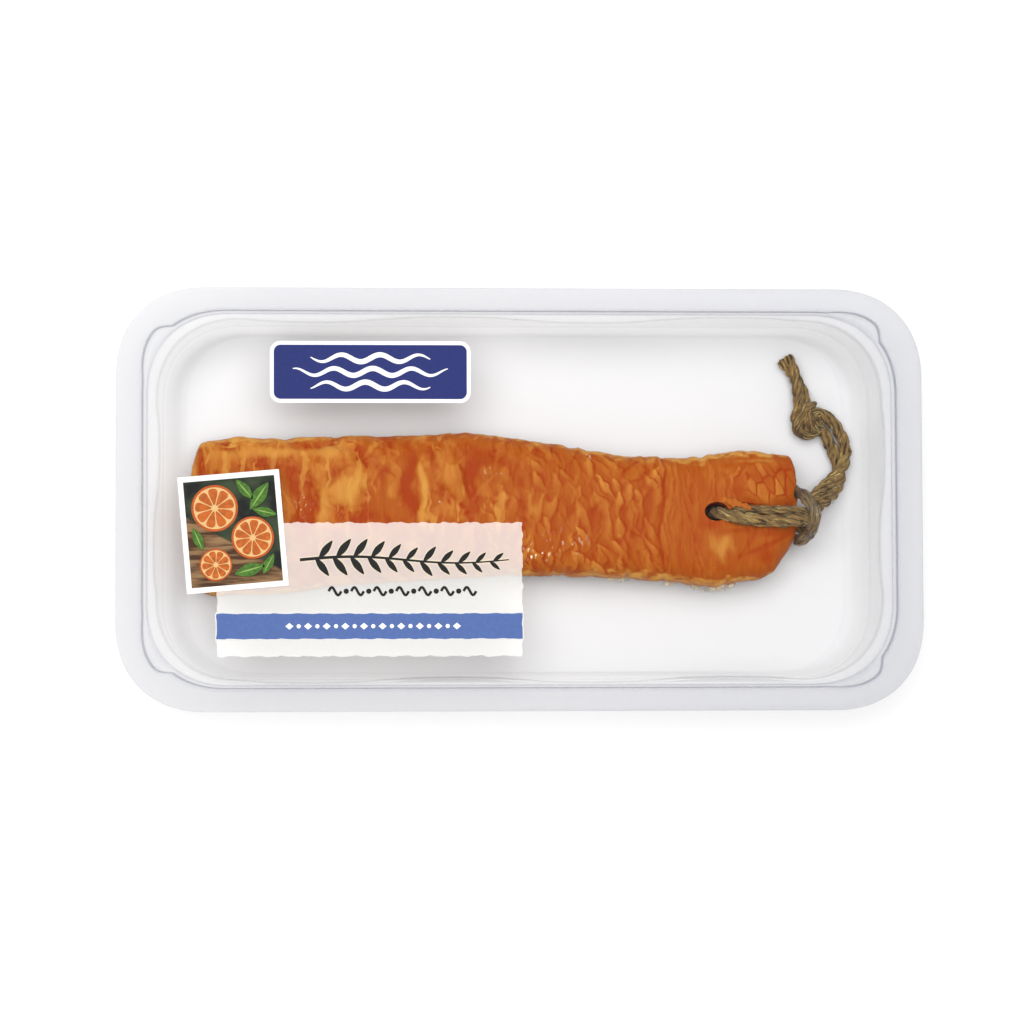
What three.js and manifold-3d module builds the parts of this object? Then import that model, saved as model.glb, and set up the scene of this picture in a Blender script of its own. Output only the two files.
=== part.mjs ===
// A sealed pack of smoked salmon: a clear formed tray with a film lid, a thick strip of salmon inside,
// the twine that the strip was hung by, and the labels on the film.
// Millimetres. The origin is the middle of the tray's base, +X runs along the pack and +Z is up.
import * as THREE from 'three';
import { mergeVertices } from 'three/addons/utils/BufferGeometryUtils.js';
import Module from 'manifold-3d';

const wasm = await Module();
wasm.setup();

// Driving dimensions of the tray
const PACK_LENGTH = 230;
const PACK_WIDTH = 120.5;
const FLANGE_HEIGHT = 27;
const SHEET = 0.8;
const CORNER_POWER = 2.25;
const EAR_REACH = 2.5;
const LONG_SCALLOPS = 4;
const SHORT_SCALLOPS = 2;
const SCALLOP_GAP = 0.06;

// Driving dimensions of the film and the labels, which lie on each other with a thin gap
const FILM_THICKNESS = 0.4;
const LABEL_THICKNESS = 0.2;
const LAYER_GAP = 0.1;
const FILM_BASE = FLANGE_HEIGHT + LAYER_GAP;
const LABEL_BASE = FILM_BASE + FILM_THICKNESS + LAYER_GAP;
const UPPER_LABEL_BASE = LABEL_BASE + LABEL_THICKNESS + LAYER_GAP;
const PANEL = { x: -43.2, y: -25.7, length: 86.1, width: 37.4, wave: 0.45 };
const BAND = { x: -43.2, y: -36.1, length: 86.3, width: 6.8, wave: 0.35 };
const NAME_PLATE = { x: -43, y: 36.1, length: 57, width: 17.6, corner: 3 };
const CARD = { x: -81.9, y: -9.3, length: 28.8, width: 33.1, turn: THREE.MathUtils.degToRad(4.9) };

// Driving dimensions of the salmon
const FISH_BASE = 1.1;
const FISH_WAIST = 8.5;
const FISH_START = -93.8;
const FISH_END = 80;
const SMOOTH_STEP = 2.7;
const FLAKY_STEP = 1.5;
const FLAKY_START = -6;
const TOP_POINTS = 22;
const BASE_POINTS = 10;
const END_ROUNDING = 1.6;
const END_INSET = 0.035;
const HOLE = { x: 56.6, y: -3.1, length: 6.8, width: 5.4 };
const CREASE_X = 41;

// The strip's edges and height, as x and then y or z
const BACK_EDGE = [
  [-93.8, 10.5], [-92.2, 15.8], [-91.2, 17.5], [-88, 18], [-80.5, 18.7], [-74, 18.1], [-51.5, 19], [-30, 19.5],
  [-15.6, 20.4], [-3.4, 18.9], [12.8, 16.2], [30.7, 13.2], [43.5, 12.6], [52.7, 13.1], [65.2, 15.2], [75.9, 13.9],
  [78.4, 13.5], [79.4, 12.4], [80, 10.4],
];
const FRONT_EDGE = [
  [-93.8, -24.6], [-88, -26.8], [-67, -26.2], [-51, -23.9], [-24, -22.4], [0.6, -20.8], [17.7, -21.2],
  [35, -22], [50, -23.6], [57, -24.3], [69, -22.4], [73.6, -20.7], [77.7, -14.6], [80, -11],
];
const CROWN = [
  [-93.8, 16], [-85, 18.6], [-60, 20], [-20, 21.6], [10, 20.6], [41, 19.4], [62, 20.2], [74, 19], [80, 16.5],
];

// Driving dimensions of the twine
const STRAND = 3.2;
const TAIL = 5.4;
const TIP = 4.6;
const CLEARANCE = 0.3;
const FRONT_STRAND_PATH = [
  [84.6, -5.4, 15.6], [82, -5.6, 18.6], [78, -5.7, 19.7], [73, -5.9, 20.1], [68, -5.6, 20.3], [62.9, -4.9, 20.2],
  [59, -4, 18.6], [57, -3.2, 15], [56.6, -3.1, 10], [57, -3.2, 5.4], [60, -3.6, 3], [67, -4, 2.8],
  [76, -5, 2.8], [81.6, -6.4, 4.2], [84.2, -7.8, 8.4], [84.6, -8, 13.6], [84.3, -7.2, 18],
];
const BACK_STRAND_PATH = [
  [83.4, -3.2, 17.6], [79, -2.7, 19.5], [73, -2.7, 19.9], [68, -2.6, 19.8], [63, -2.4, 18.7], [59.6, -2.8, 15],
  [58.6, -3, 11],
];
const HITCH_PATH = [
  [79.7, 3.6, 10], [80.6, 3, 14], [81.9, 1.7, 17.4], [83.2, -0.1, 20], [84.3, -2.5, 21], [84.8, -4.8, 20.6],
  [84.6, -7, 18.8], [83.9, -9, 15.6], [82.5, -10.5, 12], [80.9, -11.1, 9],
];
const TAIL_PATH = [
  [85.2, -0.8, 13.2], [87.4, 1.5, 10.2], [90, 4.2, 7.2], [92.8, 7.2, 5], [94.3, 10.6, 4.1], [94.7, 14, 3.9],
  [94.2, 17.4, 3.9], [92.4, 20.6, 3.9], [90, 22.8, 4], [88, 24, 4.1],
];
const KNOT = { x: 84.2, y: 24.5, z: 4.5, length: 7.2, width: 10.6, height: 6.6 };
const KNOT_WRAP_PATH = [
  [88.3, 28, 4.2], [86.2, 28.1, 6.2], [84.3, 27.1, 7.2], [82.5, 24.8, 7.2], [81.2, 22, 6], [81, 19.6, 3.8],
];
const TIP_PATH = [
  [83.8, 26.8, 4.8], [83.6, 30.4, 4], [83, 33.6, 3.5], [81.9, 36.8, 3.5], [80.4, 39.8, 3.6], [78.4, 42.6, 3.8],
];

// A smooth step from 0 to 1 between two values
function smooth(low, high, value) {
  const t = Math.min(1, Math.max(0, (value - low) / (high - low)));
  return t * t * (3 - 2 * t);
}

// A repeatable number from 0 to 1 for a whole number, the same on every run
function scatter(index) {
  const wave = Math.sin(index * 12.9898 + 4.1) * 43758.5453;
  return wave - Math.floor(wave);
}

// The value at x of a table of [x, value] pairs, joined by straight lines
function along(table, x) {
  if (x <= table[0][0]) return table[0][1];
  for (let i = 1; i < table.length; i += 1) {
    const [x0, v0] = table[i - 1];
    const [x1, v1] = table[i];
    if (x <= x1) return v0 + (v1 - v0) * (x - x0) / (x1 - x0);
  }
  return table[table.length - 1][1];
}

// A geometry from points and triangles, turned inside out if its faces point inwards
function solidGeometry(points, triangles) {
  let volume = 0;
  const cross = new THREE.Vector3();
  for (const [a, b, c] of triangles) volume += cross.crossVectors(points[b], points[c]).dot(points[a]);
  const ordered = volume > 0 ? triangles : triangles.map(([a, b, c]) => [a, c, b]);
  const geometry = new THREE.BufferGeometry().setFromPoints(points);
  geometry.setIndex(ordered.flat());
  return geometry;
}

// The triangles that join rings of equal length into a skin, ring after ring
function skin(ringCount, size) {
  const triangles = [];
  for (let ring = 0; ring < ringCount - 1; ring += 1) {
    for (let i = 0; i < size; i += 1) {
      const a = ring * size + i;
      const b = ring * size + (i + 1) % size;
      triangles.push([a, b, a + size], [b, b + size, a + size]);
    }
  }
  return triangles;
}

// A closed loft through rings whose first and last are flat and are filled across
function loft(rings) {
  const size = rings[0].length;
  const triangles = skin(rings.length, size);
  const fill = (ring) => THREE.ShapeUtils.triangulateShape(ring.map((p) => new THREE.Vector2(p.x, p.y)), []);
  for (const [a, b, c] of fill(rings[0])) triangles.push([a, c, b]);
  const last = (rings.length - 1) * size;
  for (const [a, b, c] of fill(rings[rings.length - 1])) triangles.push([last + a, last + b, last + c]);
  return solidGeometry(rings.flat(), triangles);
}

// A closed tube along a smooth path
function tube(path, diameter, sides, steps) {
  const curve = new THREE.CatmullRomCurve3(path.map((point) => new THREE.Vector3(...point)), false, 'centripetal');
  const section = new THREE.Shape();
  for (let i = 0; i < sides; i += 1) {
    const angle = (i / sides) * 2 * Math.PI;
    section[i ? 'lineTo' : 'moveTo'](Math.cos(angle) * diameter / 2, Math.sin(angle) * diameter / 2);
  }
  return new THREE.ExtrudeGeometry(section, { steps, extrudePath: curve, bevelEnabled: false });
}

function toSolid(geometry) {
  const bare = geometry.clone();
  bare.deleteAttribute('normal');
  bare.deleteAttribute('uv');
  const merged = mergeVertices(bare, 1e-4);
  const vertProperties = new Float32Array(merged.attributes.position.array);
  const triVerts = new Uint32Array(merged.index.array);
  return new wasm.Manifold(new wasm.Mesh({ numProp: 3, vertProperties, triVerts }));
}

function toGeometry(solid) {
  const mesh = solid.getMesh();
  const geometry = new THREE.BufferGeometry();
  geometry.setAttribute('position', new THREE.BufferAttribute(new Float32Array(mesh.vertProperties), 3));
  geometry.setIndex(new THREE.BufferAttribute(new Uint32Array(mesh.triVerts), 1));
  return geometry;
}

function join(geometries) {
  return geometries.map(toSolid).reduce((whole, piece) => whole.add(piece));
}

// Tray: the steps round a corner are closer together where a pocket starts
const CORNER_ANGLES = [0, 11, 22, 33, 39, 45, 51, 57, 68, 79];
const SCALLOP_STEPS = [0, SCALLOP_GAP, 0.35, 0.65, 1 - SCALLOP_GAP];

// How far a corner pocket reaches out of the mouth's line at an angle of its corner
function earReach(angle) {
  const start = 38;
  const peak = 50;
  const end = 84;
  if (angle <= start || angle >= end) return 0;
  if (angle < peak) return Math.sin((angle - start) / (peak - start) * Math.PI / 2);
  return Math.cos((angle - peak) / (end - peak) * Math.PI / 2) ** 1.3;
}

// A shallow bow, 1 in the middle and 0 at both ends
function bow(step) {
  const inside = (step - SCALLOP_GAP) / (1 - 2 * SCALLOP_GAP);
  return inside <= 0 || inside >= 1 ? 0 : Math.sqrt(1 - (2 * inside - 1) ** 2);
}

// One ring of the tray: rounded corners joined by sides whose bows go in and out in turn
function trayRing({ x, y, r, z, ear = 0, scallop = 0 }) {
  const ring = [];
  const power = 2 / CORNER_POWER;
  for (let side = 0; side < 4; side += 1) {
    const turn = side * Math.PI / 2;
    const acrossLong = side % 2 === 1;
    const reach = acrossLong ? y : x;
    const half = (acrossLong ? x : y) - r;
    const bows = acrossLong ? LONG_SCALLOPS : SHORT_SCALLOPS;
    const place = (outward, sideways) => ring.push(new THREE.Vector3(
      outward * Math.cos(turn) - sideways * Math.sin(turn),
      outward * Math.sin(turn) + sideways * Math.cos(turn),
      z,
    ));
    for (let k = 0; k < bows; k += 1) {
      const way = (k % 2 === 0) === acrossLong ? 1 : -1;
      for (const step of SCALLOP_STEPS) {
        place(reach + way * scallop * bow(step), half * (2 * (k + step) / bows - 1));
      }
    }
    for (const angle of CORNER_ANGLES) {
      const mirrored = side >= 2 ? 90 - angle : angle;
      const radius = r + ear * earReach(mirrored);
      const radians = THREE.MathUtils.degToRad(angle);
      place(reach - r + radius * Math.cos(radians) ** power, half + radius * Math.sin(radians) ** power);
    }
  }
  return ring;
}

// The tray's inner face from the floor's edge up to the rim, with how far the outer face stands off it
const TRAY_RINGS = [
  { x: 95.5, y: 48.8, r: 20, z: SHEET, out: 0, drop: SHEET },
  { x: 99.4, y: 50.1, r: 21.5, z: 2, out: 0.55, drop: 0.6 },
  { x: 101.2, y: 50.6, r: 22, z: 5, out: SHEET, drop: 0.2 },
  { x: 101.9, y: 50.8, r: 22.6, z: 10, innerOnly: true },
  { x: 102.3, y: 51.1, r: 22.8, z: 10.6, out: SHEET, drop: 0.2 },
  { x: 103.2, y: 51.1, r: 24, z: 24.8, out: SHEET, drop: 0.2, scallop: 0.8 },
  { x: 103.7, y: 51.4, r: 24, z: 25.8, out: SHEET, drop: SHEET, scallop: 0.8 },
  { x: 106.1, y: 52.8, r: 23.6, z: 26.1, innerOnly: true },
  { x: 107.1, y: 53.4, r: 24, z: 26.5, innerOnly: true, ear: EAR_REACH },
  { x: 107.6, y: 53.7, r: 24, z: FLANGE_HEIGHT, out: 0.4, drop: SHEET, ear: EAR_REACH },
  { x: PACK_LENGTH / 2, y: PACK_WIDTH / 2, r: 26, z: FLANGE_HEIGHT, out: 0, drop: SHEET },
];

function trayGeometry() {
  const inner = TRAY_RINGS.map(trayRing);
  const outer = TRAY_RINGS.filter((ring) => !ring.innerOnly).map((ring) => trayRing({
    ...ring, x: ring.x + ring.out, y: ring.y + ring.out, r: ring.r + ring.out, z: ring.z - ring.drop,
  }));
  return loft([...inner, ...outer.reverse()]);
}

// Film and labels
function plate(points, base, thickness) {
  const outline = new THREE.Shape(points.map(([x, y]) => new THREE.Vector2(x, y)));
  return new THREE.ExtrudeGeometry(outline, { depth: thickness, bevelEnabled: false }).translate(0, 0, base);
}

function roundedOutline(halfLength, halfWidth, radius, power, steps) {
  const points = [];
  for (let i = 0; i < 4 * steps; i += 1) {
    const corner = Math.floor(i / steps);
    const angle = corner * Math.PI / 2 + (i % steps) / (steps - 1) * Math.PI / 2;
    const c = Math.cos(angle);
    const s = Math.sin(angle);
    const signX = corner === 0 || corner === 3 ? 1 : -1;
    const signY = corner < 2 ? 1 : -1;
    points.push([
      signX * (halfLength - radius + radius * Math.abs(c) ** (2 / power)),
      signY * (halfWidth - radius + radius * Math.abs(s) ** (2 / power)),
    ]);
  }
  return points;
}

// A rectangle with a torn, gently wavy edge
function wavyOutline({ length, width, wave }, seed) {
  const pitch = 3;
  const points = [];
  const edge = (count, at) => {
    for (let i = 0; i < count; i += 1) points.push(at(i / count, (scatter(points.length + seed) - 0.5) * wave));
  };
  const across = Math.round(length / pitch);
  const up = Math.round(width / pitch);
  edge(across, (t, shift) => [(t - 0.5) * length, -width / 2 + shift]);
  edge(up, (t, shift) => [length / 2 + shift, (t - 0.5) * width]);
  edge(across, (t, shift) => [(0.5 - t) * length, width / 2 + shift]);
  edge(up, (t, shift) => [-length / 2 + shift, (0.5 - t) * width]);
  return points;
}

// Salmon: the cells that its flakes form, as the nearest cell's number and the distance from its border
function flakeCell(x, across, pitchX, pitchY, seed) {
  const column = Math.floor(x / pitchX);
  let nearest = Infinity;
  let second = Infinity;
  let owner = 0;
  for (let i = column - 2; i <= column + 2; i += 1) {
    const shift = (i % 2) * 0.5;
    const row = Math.floor(across / pitchY - shift);
    for (let j = row - 1; j <= row + 1; j += 1) {
      const number = i * 57 + j * 131 + seed;
      const dx = x / pitchX - (i + 0.15 + 0.7 * scatter(number));
      const dy = across / pitchY - shift - (j + 0.1 + 0.8 * scatter(number + 0.5));
      const distance = Math.hypot(dx, dy);
      if (distance < nearest) {
        second = nearest;
        nearest = distance;
        owner = number;
      } else if (distance < second) {
        second = distance;
      }
    }
  }
  return { border: second - nearest, level: scatter(owner + 0.25) - 0.5 };
}

// The relief on the strip: broad folds to the left, close flakes to the right, a crease and the twine's trough
function relief(x, across) {
  const broad = flakeCell(x + across * 0.25, across, 15, 21, 3);
  const broadRise = smooth(0, 0.5, broad.border);
  const folds = 0.7 * (broadRise - 1) + 1.1 * broad.level * broadRise;
  const close = flakeCell(x + Math.sin(across / 7), across, 4.2, 11.5, 17);
  const closeRise = smooth(0, 0.45, close.border);
  const flakes = 0.8 * (closeRise - 1) + 0.7 * close.level * closeRise;
  const crease = 1.1 * Math.exp(-(((x - CREASE_X - 0.7 * Math.sin(across / 6)) / 0.9) ** 2));
  const trough = 1.6 * Math.exp(-(((across + 4.4) / 3.6) ** 2)) * smooth(57, 63, x);
  const flaky = smooth(-12, 8, x);
  return flaky * flakes + (1 - flaky) * folds - crease - trough;
}

// How much a section is drawn in near the strip's ends, which are cut with rounded edges
function endScale(x) {
  const depth = Math.min(x - FISH_START, FISH_END - x);
  const near = 1 - Math.min(1, depth / END_ROUNDING);
  return 1 - END_INSET * near ** 2.6;
}

function fishSection(x) {
  const scale = endScale(x);
  const back = along(BACK_EDGE, x);
  const front = along(FRONT_EDGE, x);
  const middle = (back + front) / 2;
  const halfWidth = (back - front) / 2 * scale;
  const ring = [];
  const place = (side, power, halfHeight, roughness) => {
    const rise = (1 - Math.abs(side) ** power) ** (1 / power);
    const across = halfWidth * side + Math.sign(side) * 0.8 * Math.abs(halfHeight) * (1 - rise);
    const out = roughness * relief(x, middle + across) * (1 - 0.6 * (1 - scale) / END_INSET);
    const lean = Math.abs(side) ** (power - 1);
    const lift = rise ** (power - 1);
    const length = Math.hypot(lean, lift);
    ring.push(new THREE.Vector3(
      x,
      middle + halfWidth * side + out * Math.sign(side) * lean / length,
      FISH_WAIST + halfHeight * rise + Math.sign(halfHeight) * out * lift / length,
    ));
  };
  const top = (along(CROWN, x) - FISH_WAIST) * scale;
  for (let i = 0; i < TOP_POINTS; i += 1) place(Math.cos(i / TOP_POINTS * Math.PI), 3.6, top, 1);
  for (let i = 0; i < BASE_POINTS; i += 1) {
    place(-Math.cos(i / BASE_POINTS * Math.PI), 5, -(FISH_WAIST - FISH_BASE) * scale, i === 0 ? 1 : 0);
  }
  return ring;
}

function fishStations() {
  const stations = [FISH_START, FISH_START + 0.5, FISH_START + 1.4];
  for (let x = FISH_START + 3; x < FLAKY_START; x += SMOOTH_STEP) stations.push(x);
  for (let x = FLAKY_START; x < FISH_END - 2; x += FLAKY_STEP) stations.push(x);
  return [...stations, FISH_END - 1.2, FISH_END - 0.4, FISH_END];
}

function fishBody() {
  const rings = fishStations().map(fishSection);
  const size = rings[0].length;
  const points = rings.flat();
  const triangles = skin(rings.length, size);
  const cap = (ring, bulge) => {
    const centre = new THREE.Vector3();
    for (const point of rings[ring]) centre.addScaledVector(point, 1 / size);
    points.push(centre.setX(centre.x + bulge));
    for (let i = 0; i < size; i += 1) {
      const a = ring * size + i;
      const b = ring * size + (i + 1) % size;
      triangles.push(bulge < 0 ? [b, a, points.length - 1] : [a, b, points.length - 1]);
    }
  };
  cap(0, -0.6);
  cap(rings.length - 1, 0.6);
  return solidGeometry(points, triangles);
}

function twineHole() {
  const hole = new THREE.Shape().absellipse(HOLE.x, HOLE.y, HOLE.length / 2, HOLE.width / 2, 0, 2 * Math.PI);
  return new THREE.ExtrudeGeometry(hole, { depth: FLANGE_HEIGHT, bevelEnabled: false, curveSegments: 7 });
}

// Every stretch of the loop, made thicker where it clears the flesh
function loopPieces(extra) {
  return [
    tube(FRONT_STRAND_PATH, STRAND + extra, 8, 32),
    tube(BACK_STRAND_PATH, STRAND + extra, 8, 12),
    tube(HITCH_PATH, STRAND + 0.6 + extra, 8, 14),
  ];
}

function tailTube(extra) {
  return tube(TAIL_PATH, TAIL + extra, 10, 18);
}

function salmonGeometry() {
  const body = toSolid(fishBody()).subtract(toSolid(twineHole()));
  return toGeometry(body.subtract(join(loopPieces(2 * CLEARANCE))));
}

function loopGeometry() {
  return toGeometry(join(loopPieces(0)).subtract(toSolid(tailTube(2 * CLEARANCE))));
}

function knotGeometry() {
  const core = new THREE.SphereGeometry(0.5, 10, 7).scale(KNOT.length, KNOT.width, KNOT.height);
  core.translate(KNOT.x, KNOT.y, KNOT.z);
  const pieces = [core, tube(KNOT_WRAP_PATH, STRAND + 0.4, 8, 10), tube(TIP_PATH, TIP, 8, 8)];
  return toGeometry(join(pieces).subtract(toSolid(tailTube(2 * CLEARANCE))));
}

// The finished pieces
const pack = new THREE.Group();

function addPiece(name, geometry, finish, place = {}) {
  const piece = new THREE.Mesh(geometry, new THREE.MeshStandardMaterial(finish));
  piece.name = name;
  piece.position.set(place.x ?? 0, place.y ?? 0, 0);
  piece.rotation.z = place.turn ?? 0;
  pack.add(piece);
}

const CLEAR_TRAY = { color: 0xe6e7ec, roughness: 0.15, metalness: 0, transparent: true, opacity: 0.35 };
const CLEAR_FILM = { color: 0xf4f5f8, roughness: 0.1, metalness: 0, transparent: true, opacity: 0.12 };
const FLESH = { color: 0xc4642a, roughness: 0.35, metalness: 0 };
const JUTE = { color: 0x84693f, roughness: 0.9, metalness: 0 };
const WHITE_PRINT = { color: 0xfafafa, roughness: 0.5, metalness: 0, transparent: true, opacity: 0.8 };
const BLUE_PRINT = { color: 0x637cb9, roughness: 0.5, metalness: 0 };
const NAVY_PRINT = { color: 0x26357d, roughness: 0.45, metalness: 0 };
const CARD_PRINT = { color: 0xf2f0ea, roughness: 0.5, metalness: 0 };

const filmOutline = roundedOutline(PACK_LENGTH / 2, PACK_WIDTH / 2, 26, CORNER_POWER, 12);
const plateOutline = roundedOutline(NAME_PLATE.length / 2, NAME_PLATE.width / 2, NAME_PLATE.corner, 2, 6);
const cardOutline = [[-1, -1], [1, -1], [1, 1], [-1, 1]].map(([x, y]) => [x * CARD.length / 2, y * CARD.width / 2]);

addPiece('tray', trayGeometry(), CLEAR_TRAY);
addPiece('lid_film', plate(filmOutline, FILM_BASE, FILM_THICKNESS), CLEAR_FILM);
addPiece('salmon', salmonGeometry(), FLESH);
addPiece('twine_loop', loopGeometry(), JUTE);
addPiece('twine_tail', tailTube(0), JUTE);
addPiece('twine_knot', knotGeometry(), JUTE);
addPiece('label_panel', plate(wavyOutline(PANEL, 11), LABEL_BASE, LABEL_THICKNESS), WHITE_PRINT, PANEL);
addPiece('label_band', plate(wavyOutline(BAND, 211), UPPER_LABEL_BASE, LABEL_THICKNESS), BLUE_PRINT, BAND);
addPiece('name_plate', plate(plateOutline, LABEL_BASE, LABEL_THICKNESS), NAVY_PRINT, NAME_PLATE);
addPiece('picture_card', plate(cardOutline, UPPER_LABEL_BASE, LABEL_THICKNESS), CARD_PRINT, CARD);

export default pack;
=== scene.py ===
"""A sealed pack of smoked salmon: clear tray, film lid, salmon strip, twine and the labels on the film."""
import math

import bpy
import numpy as np
from mathutils import Matrix, Vector


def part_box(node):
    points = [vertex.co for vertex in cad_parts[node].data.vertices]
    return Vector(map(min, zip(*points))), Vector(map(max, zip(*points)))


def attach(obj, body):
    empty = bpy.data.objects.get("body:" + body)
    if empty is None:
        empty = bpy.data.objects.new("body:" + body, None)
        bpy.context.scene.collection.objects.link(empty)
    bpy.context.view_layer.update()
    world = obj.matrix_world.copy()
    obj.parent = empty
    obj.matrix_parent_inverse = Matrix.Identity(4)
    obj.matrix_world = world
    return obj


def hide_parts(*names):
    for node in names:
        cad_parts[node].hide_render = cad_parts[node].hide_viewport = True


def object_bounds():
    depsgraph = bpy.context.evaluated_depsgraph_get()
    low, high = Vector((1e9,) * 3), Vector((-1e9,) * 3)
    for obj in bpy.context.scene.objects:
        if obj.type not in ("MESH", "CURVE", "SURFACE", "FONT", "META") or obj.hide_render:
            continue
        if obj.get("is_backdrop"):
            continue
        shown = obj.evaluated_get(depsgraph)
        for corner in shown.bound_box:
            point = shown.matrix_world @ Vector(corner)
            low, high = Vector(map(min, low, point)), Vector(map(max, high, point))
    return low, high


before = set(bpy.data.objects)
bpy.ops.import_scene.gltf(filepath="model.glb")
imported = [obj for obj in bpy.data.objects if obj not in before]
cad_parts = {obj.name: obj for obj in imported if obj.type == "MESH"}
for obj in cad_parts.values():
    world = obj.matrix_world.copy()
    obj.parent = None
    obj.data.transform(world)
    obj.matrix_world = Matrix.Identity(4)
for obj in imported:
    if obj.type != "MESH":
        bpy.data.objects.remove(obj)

CAD_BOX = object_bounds()
MM = 0.001
FILM_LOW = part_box("lid_film")[0]
PANEL_LOW, PANEL_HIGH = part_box("label_panel")
BAND_LOW, BAND_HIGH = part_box("label_band")
PLATE_LOW, PLATE_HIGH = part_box("name_plate")
CARD_LOW, CARD_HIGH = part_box("picture_card")

bl_info = {
    "name": "Smoked salmon pack",
    "version": (1, 0, 0),
    "blender": (4, 5, 0),
    "location": "View3D > Sidebar > Salmon pack",
    "description": "Models a sealed clear pack of smoked salmon with its twine and labels",
    "category": "Add Mesh",
}

# Shapes of the tray in millimetres: the inner face from the floor to the rim, then the outer face back down.
# Each ring has its half length, half width, corner radius, height, and its share of the corner pocket, of the bows
# along the sides and of the dark tint painted at a bend: painted shade in place of the lines that refraction draws.
TRAY_RINGS = (
    (95.2, 48.6, 20, 0.8, 0, 0, 0), (95.7, 48.9, 20.1, 0.83, 0, 0, 0.1), (98, 49.6, 21, 1.2, 0, 0, 0.08),
    (99.4, 50.1, 21.5, 2, 0, 0, 0.06), (100.5, 50.4, 21.8, 3.3, 0, 0, 0.06), (101.1, 50.6, 22, 4.8, 0, 0, 0.1),
    (101.6, 50.7, 22.3, 7.5, 0, 0, 0.05), (101.9, 50.8, 22.6, 9.8, 0, 0, 0.12), (102.3, 51, 22.8, 10.5, 0, 0, 0.2),
    (102.4, 51.1, 22.9, 11.2, 0, 0, 0.05), (102.8, 51.1, 23.4, 18, 0, 0.4, 0.04), (103.1, 51.1, 24, 24, 0, 1, 0.1),
    (103.3, 51.2, 24, 25.2, 0, 1, 0.35), (103.5, 51.3, 24, 25.65, 0, 1, 0.6),
    (103.8, 51.5, 24, 25.83, 0, 0.95, 0.35), (104.2, 51.7, 24, 25.9, 0, 0.8, 0), (105.4, 52.4, 23.7, 26, 0, 0.2, 0),
    (105.9, 52.65, 23.6, 26.05, 0, 0, 0.1), (106.15, 52.8, 23.6, 26.12, 0, 0, 0.75),
    (106.4, 52.95, 23.6, 26.24, 0.2, 0, 0.45), (106.7, 53.15, 23.8, 26.3, 0.6, 0, 0.05),
    (107.1, 53.4, 24, 26.36, 0.95, 0, 0.1), (107.35, 53.55, 24, 26.55, 1, 0, 0.9),
    (107.5, 53.62, 24, 26.82, 1, 0, 1), (107.7, 53.75, 24, 26.97, 1, 0, 0.8), (108, 54, 24.1, 27, 0.97, 0, 0.1),
    (108.8, 54.7, 24.3, 27, 0.6, 0, 0), (111.5, 57.2, 25, 27, 0, 0, 0), (114.2, 59.6, 25.7, 27, 0, 0, 0),
    (114.8, 60.1, 25.9, 26.92, 0, 0, 0), (115, 60.25, 26, 26.7, 0, 0, 0), (114.9, 60.15, 26, 26.35, 0, 0, 0),
    (114.4, 59.7, 25.8, 26.2, 0, 0, 0), (111.5, 57.2, 25.2, 26.2, 0, 0, 0), (108.8, 54.7, 24.6, 26.2, 0.8, 0, 0),
    (108.3, 54.3, 24.5, 26.08, 1, 0, 0.1), (107.9, 54, 24.4, 25.75, 1, 0, 0.15),
    (107.2, 53.6, 24.2, 25.55, 0.9, 0, 0), (106.2, 53, 24, 25.35, 0, 0.2, 0), (104.9, 52.3, 24.6, 25.1, 0, 0.8, 0),
    (104.3, 52, 24.7, 24.5, 0, 1, 0.1), (103.7, 51.9, 24.2, 18, 0, 0.4, 0), (103.2, 51.85, 23.7, 10.8, 0, 0, 0.05),
    (102.8, 51.6, 23.4, 9.9, 0, 0, 0.05), (102, 51.4, 22.8, 4.8, 0, 0, 0), (101.3, 51.1, 22.5, 2.9, 0, 0, 0),
    (99.9, 50.7, 22, 1.3, 0, 0, 0), (98.3, 50.1, 21.6, 0.45, 0, 0, 0), (95.4, 48.8, 20.4, 0, 0, 0, 0.05),
)
# The film's half length, half width and corner radius, which are the flange's too
FILM_SHAPE = (115, 60.25, 26)
# Corners, where a ring's outline is a superellipse, and the corner pockets' reach round them in degrees
CORNER_POWER = 2.25
EAR_START, EAR_PEAK, EAR_END = 38.0, 50.0, 84.0
# Bows on a long and a short side, and the share of each that stays flat at its ends
BOWS_LONG, BOWS_SHORT = 4, 2
BOW_GAP = 0.06
# Points along a corner and along a bow
CORNER_STEPS, BOW_STEPS = 36, 14

# Shapes of the salmon in millimetres: its edges and height along x, the heights of its underside and of its widest
# line, its ends and how they are rounded, and the steps of its mesh
BACK_EDGE = (
    (-93.8, 10.5), (-92.2, 15.8), (-91.2, 17.5), (-88, 18), (-80.5, 18.7), (-74, 18.1), (-51.5, 19), (-30, 19.5),
    (-15.6, 20.4), (-3.4, 18.9), (12.8, 16.2), (30.7, 13.2), (43.5, 12.6), (52.7, 13.1), (65.2, 15.2), (75.9, 13.9),
    (78.4, 13.5), (79.4, 12.4), (80, 10.4),
)
FRONT_EDGE = (
    (-93.8, -24.6), (-88, -26.8), (-67, -26.2), (-51, -23.9), (-24, -22.4), (0.6, -20.8), (17.7, -21.2), (35, -22),
    (50, -23.6), (57, -24.3), (69, -22.4), (73.6, -20.7), (77.7, -14.6), (80, -11),
)
CROWN = (
    (-93.8, 16), (-85, 18.6), (-60, 20), (-20, 21.6), (10, 20.6), (41, 19.4), (62, 20.2), (74, 19), (80, 16.5),
)
FISH_BASE, FISH_WAIST = 1.1, 8.5
FISH_START, FISH_END = -93.8, 80.0
END_ROUNDING, END_INSET = 1.6, 0.035
FISH_STEP = 0.41
FISH_TOP_COLUMNS, FISH_BASE_COLUMNS = 168, 36
FISH_CAP_ROWS = 12
CREASE_X = 41.0
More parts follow.
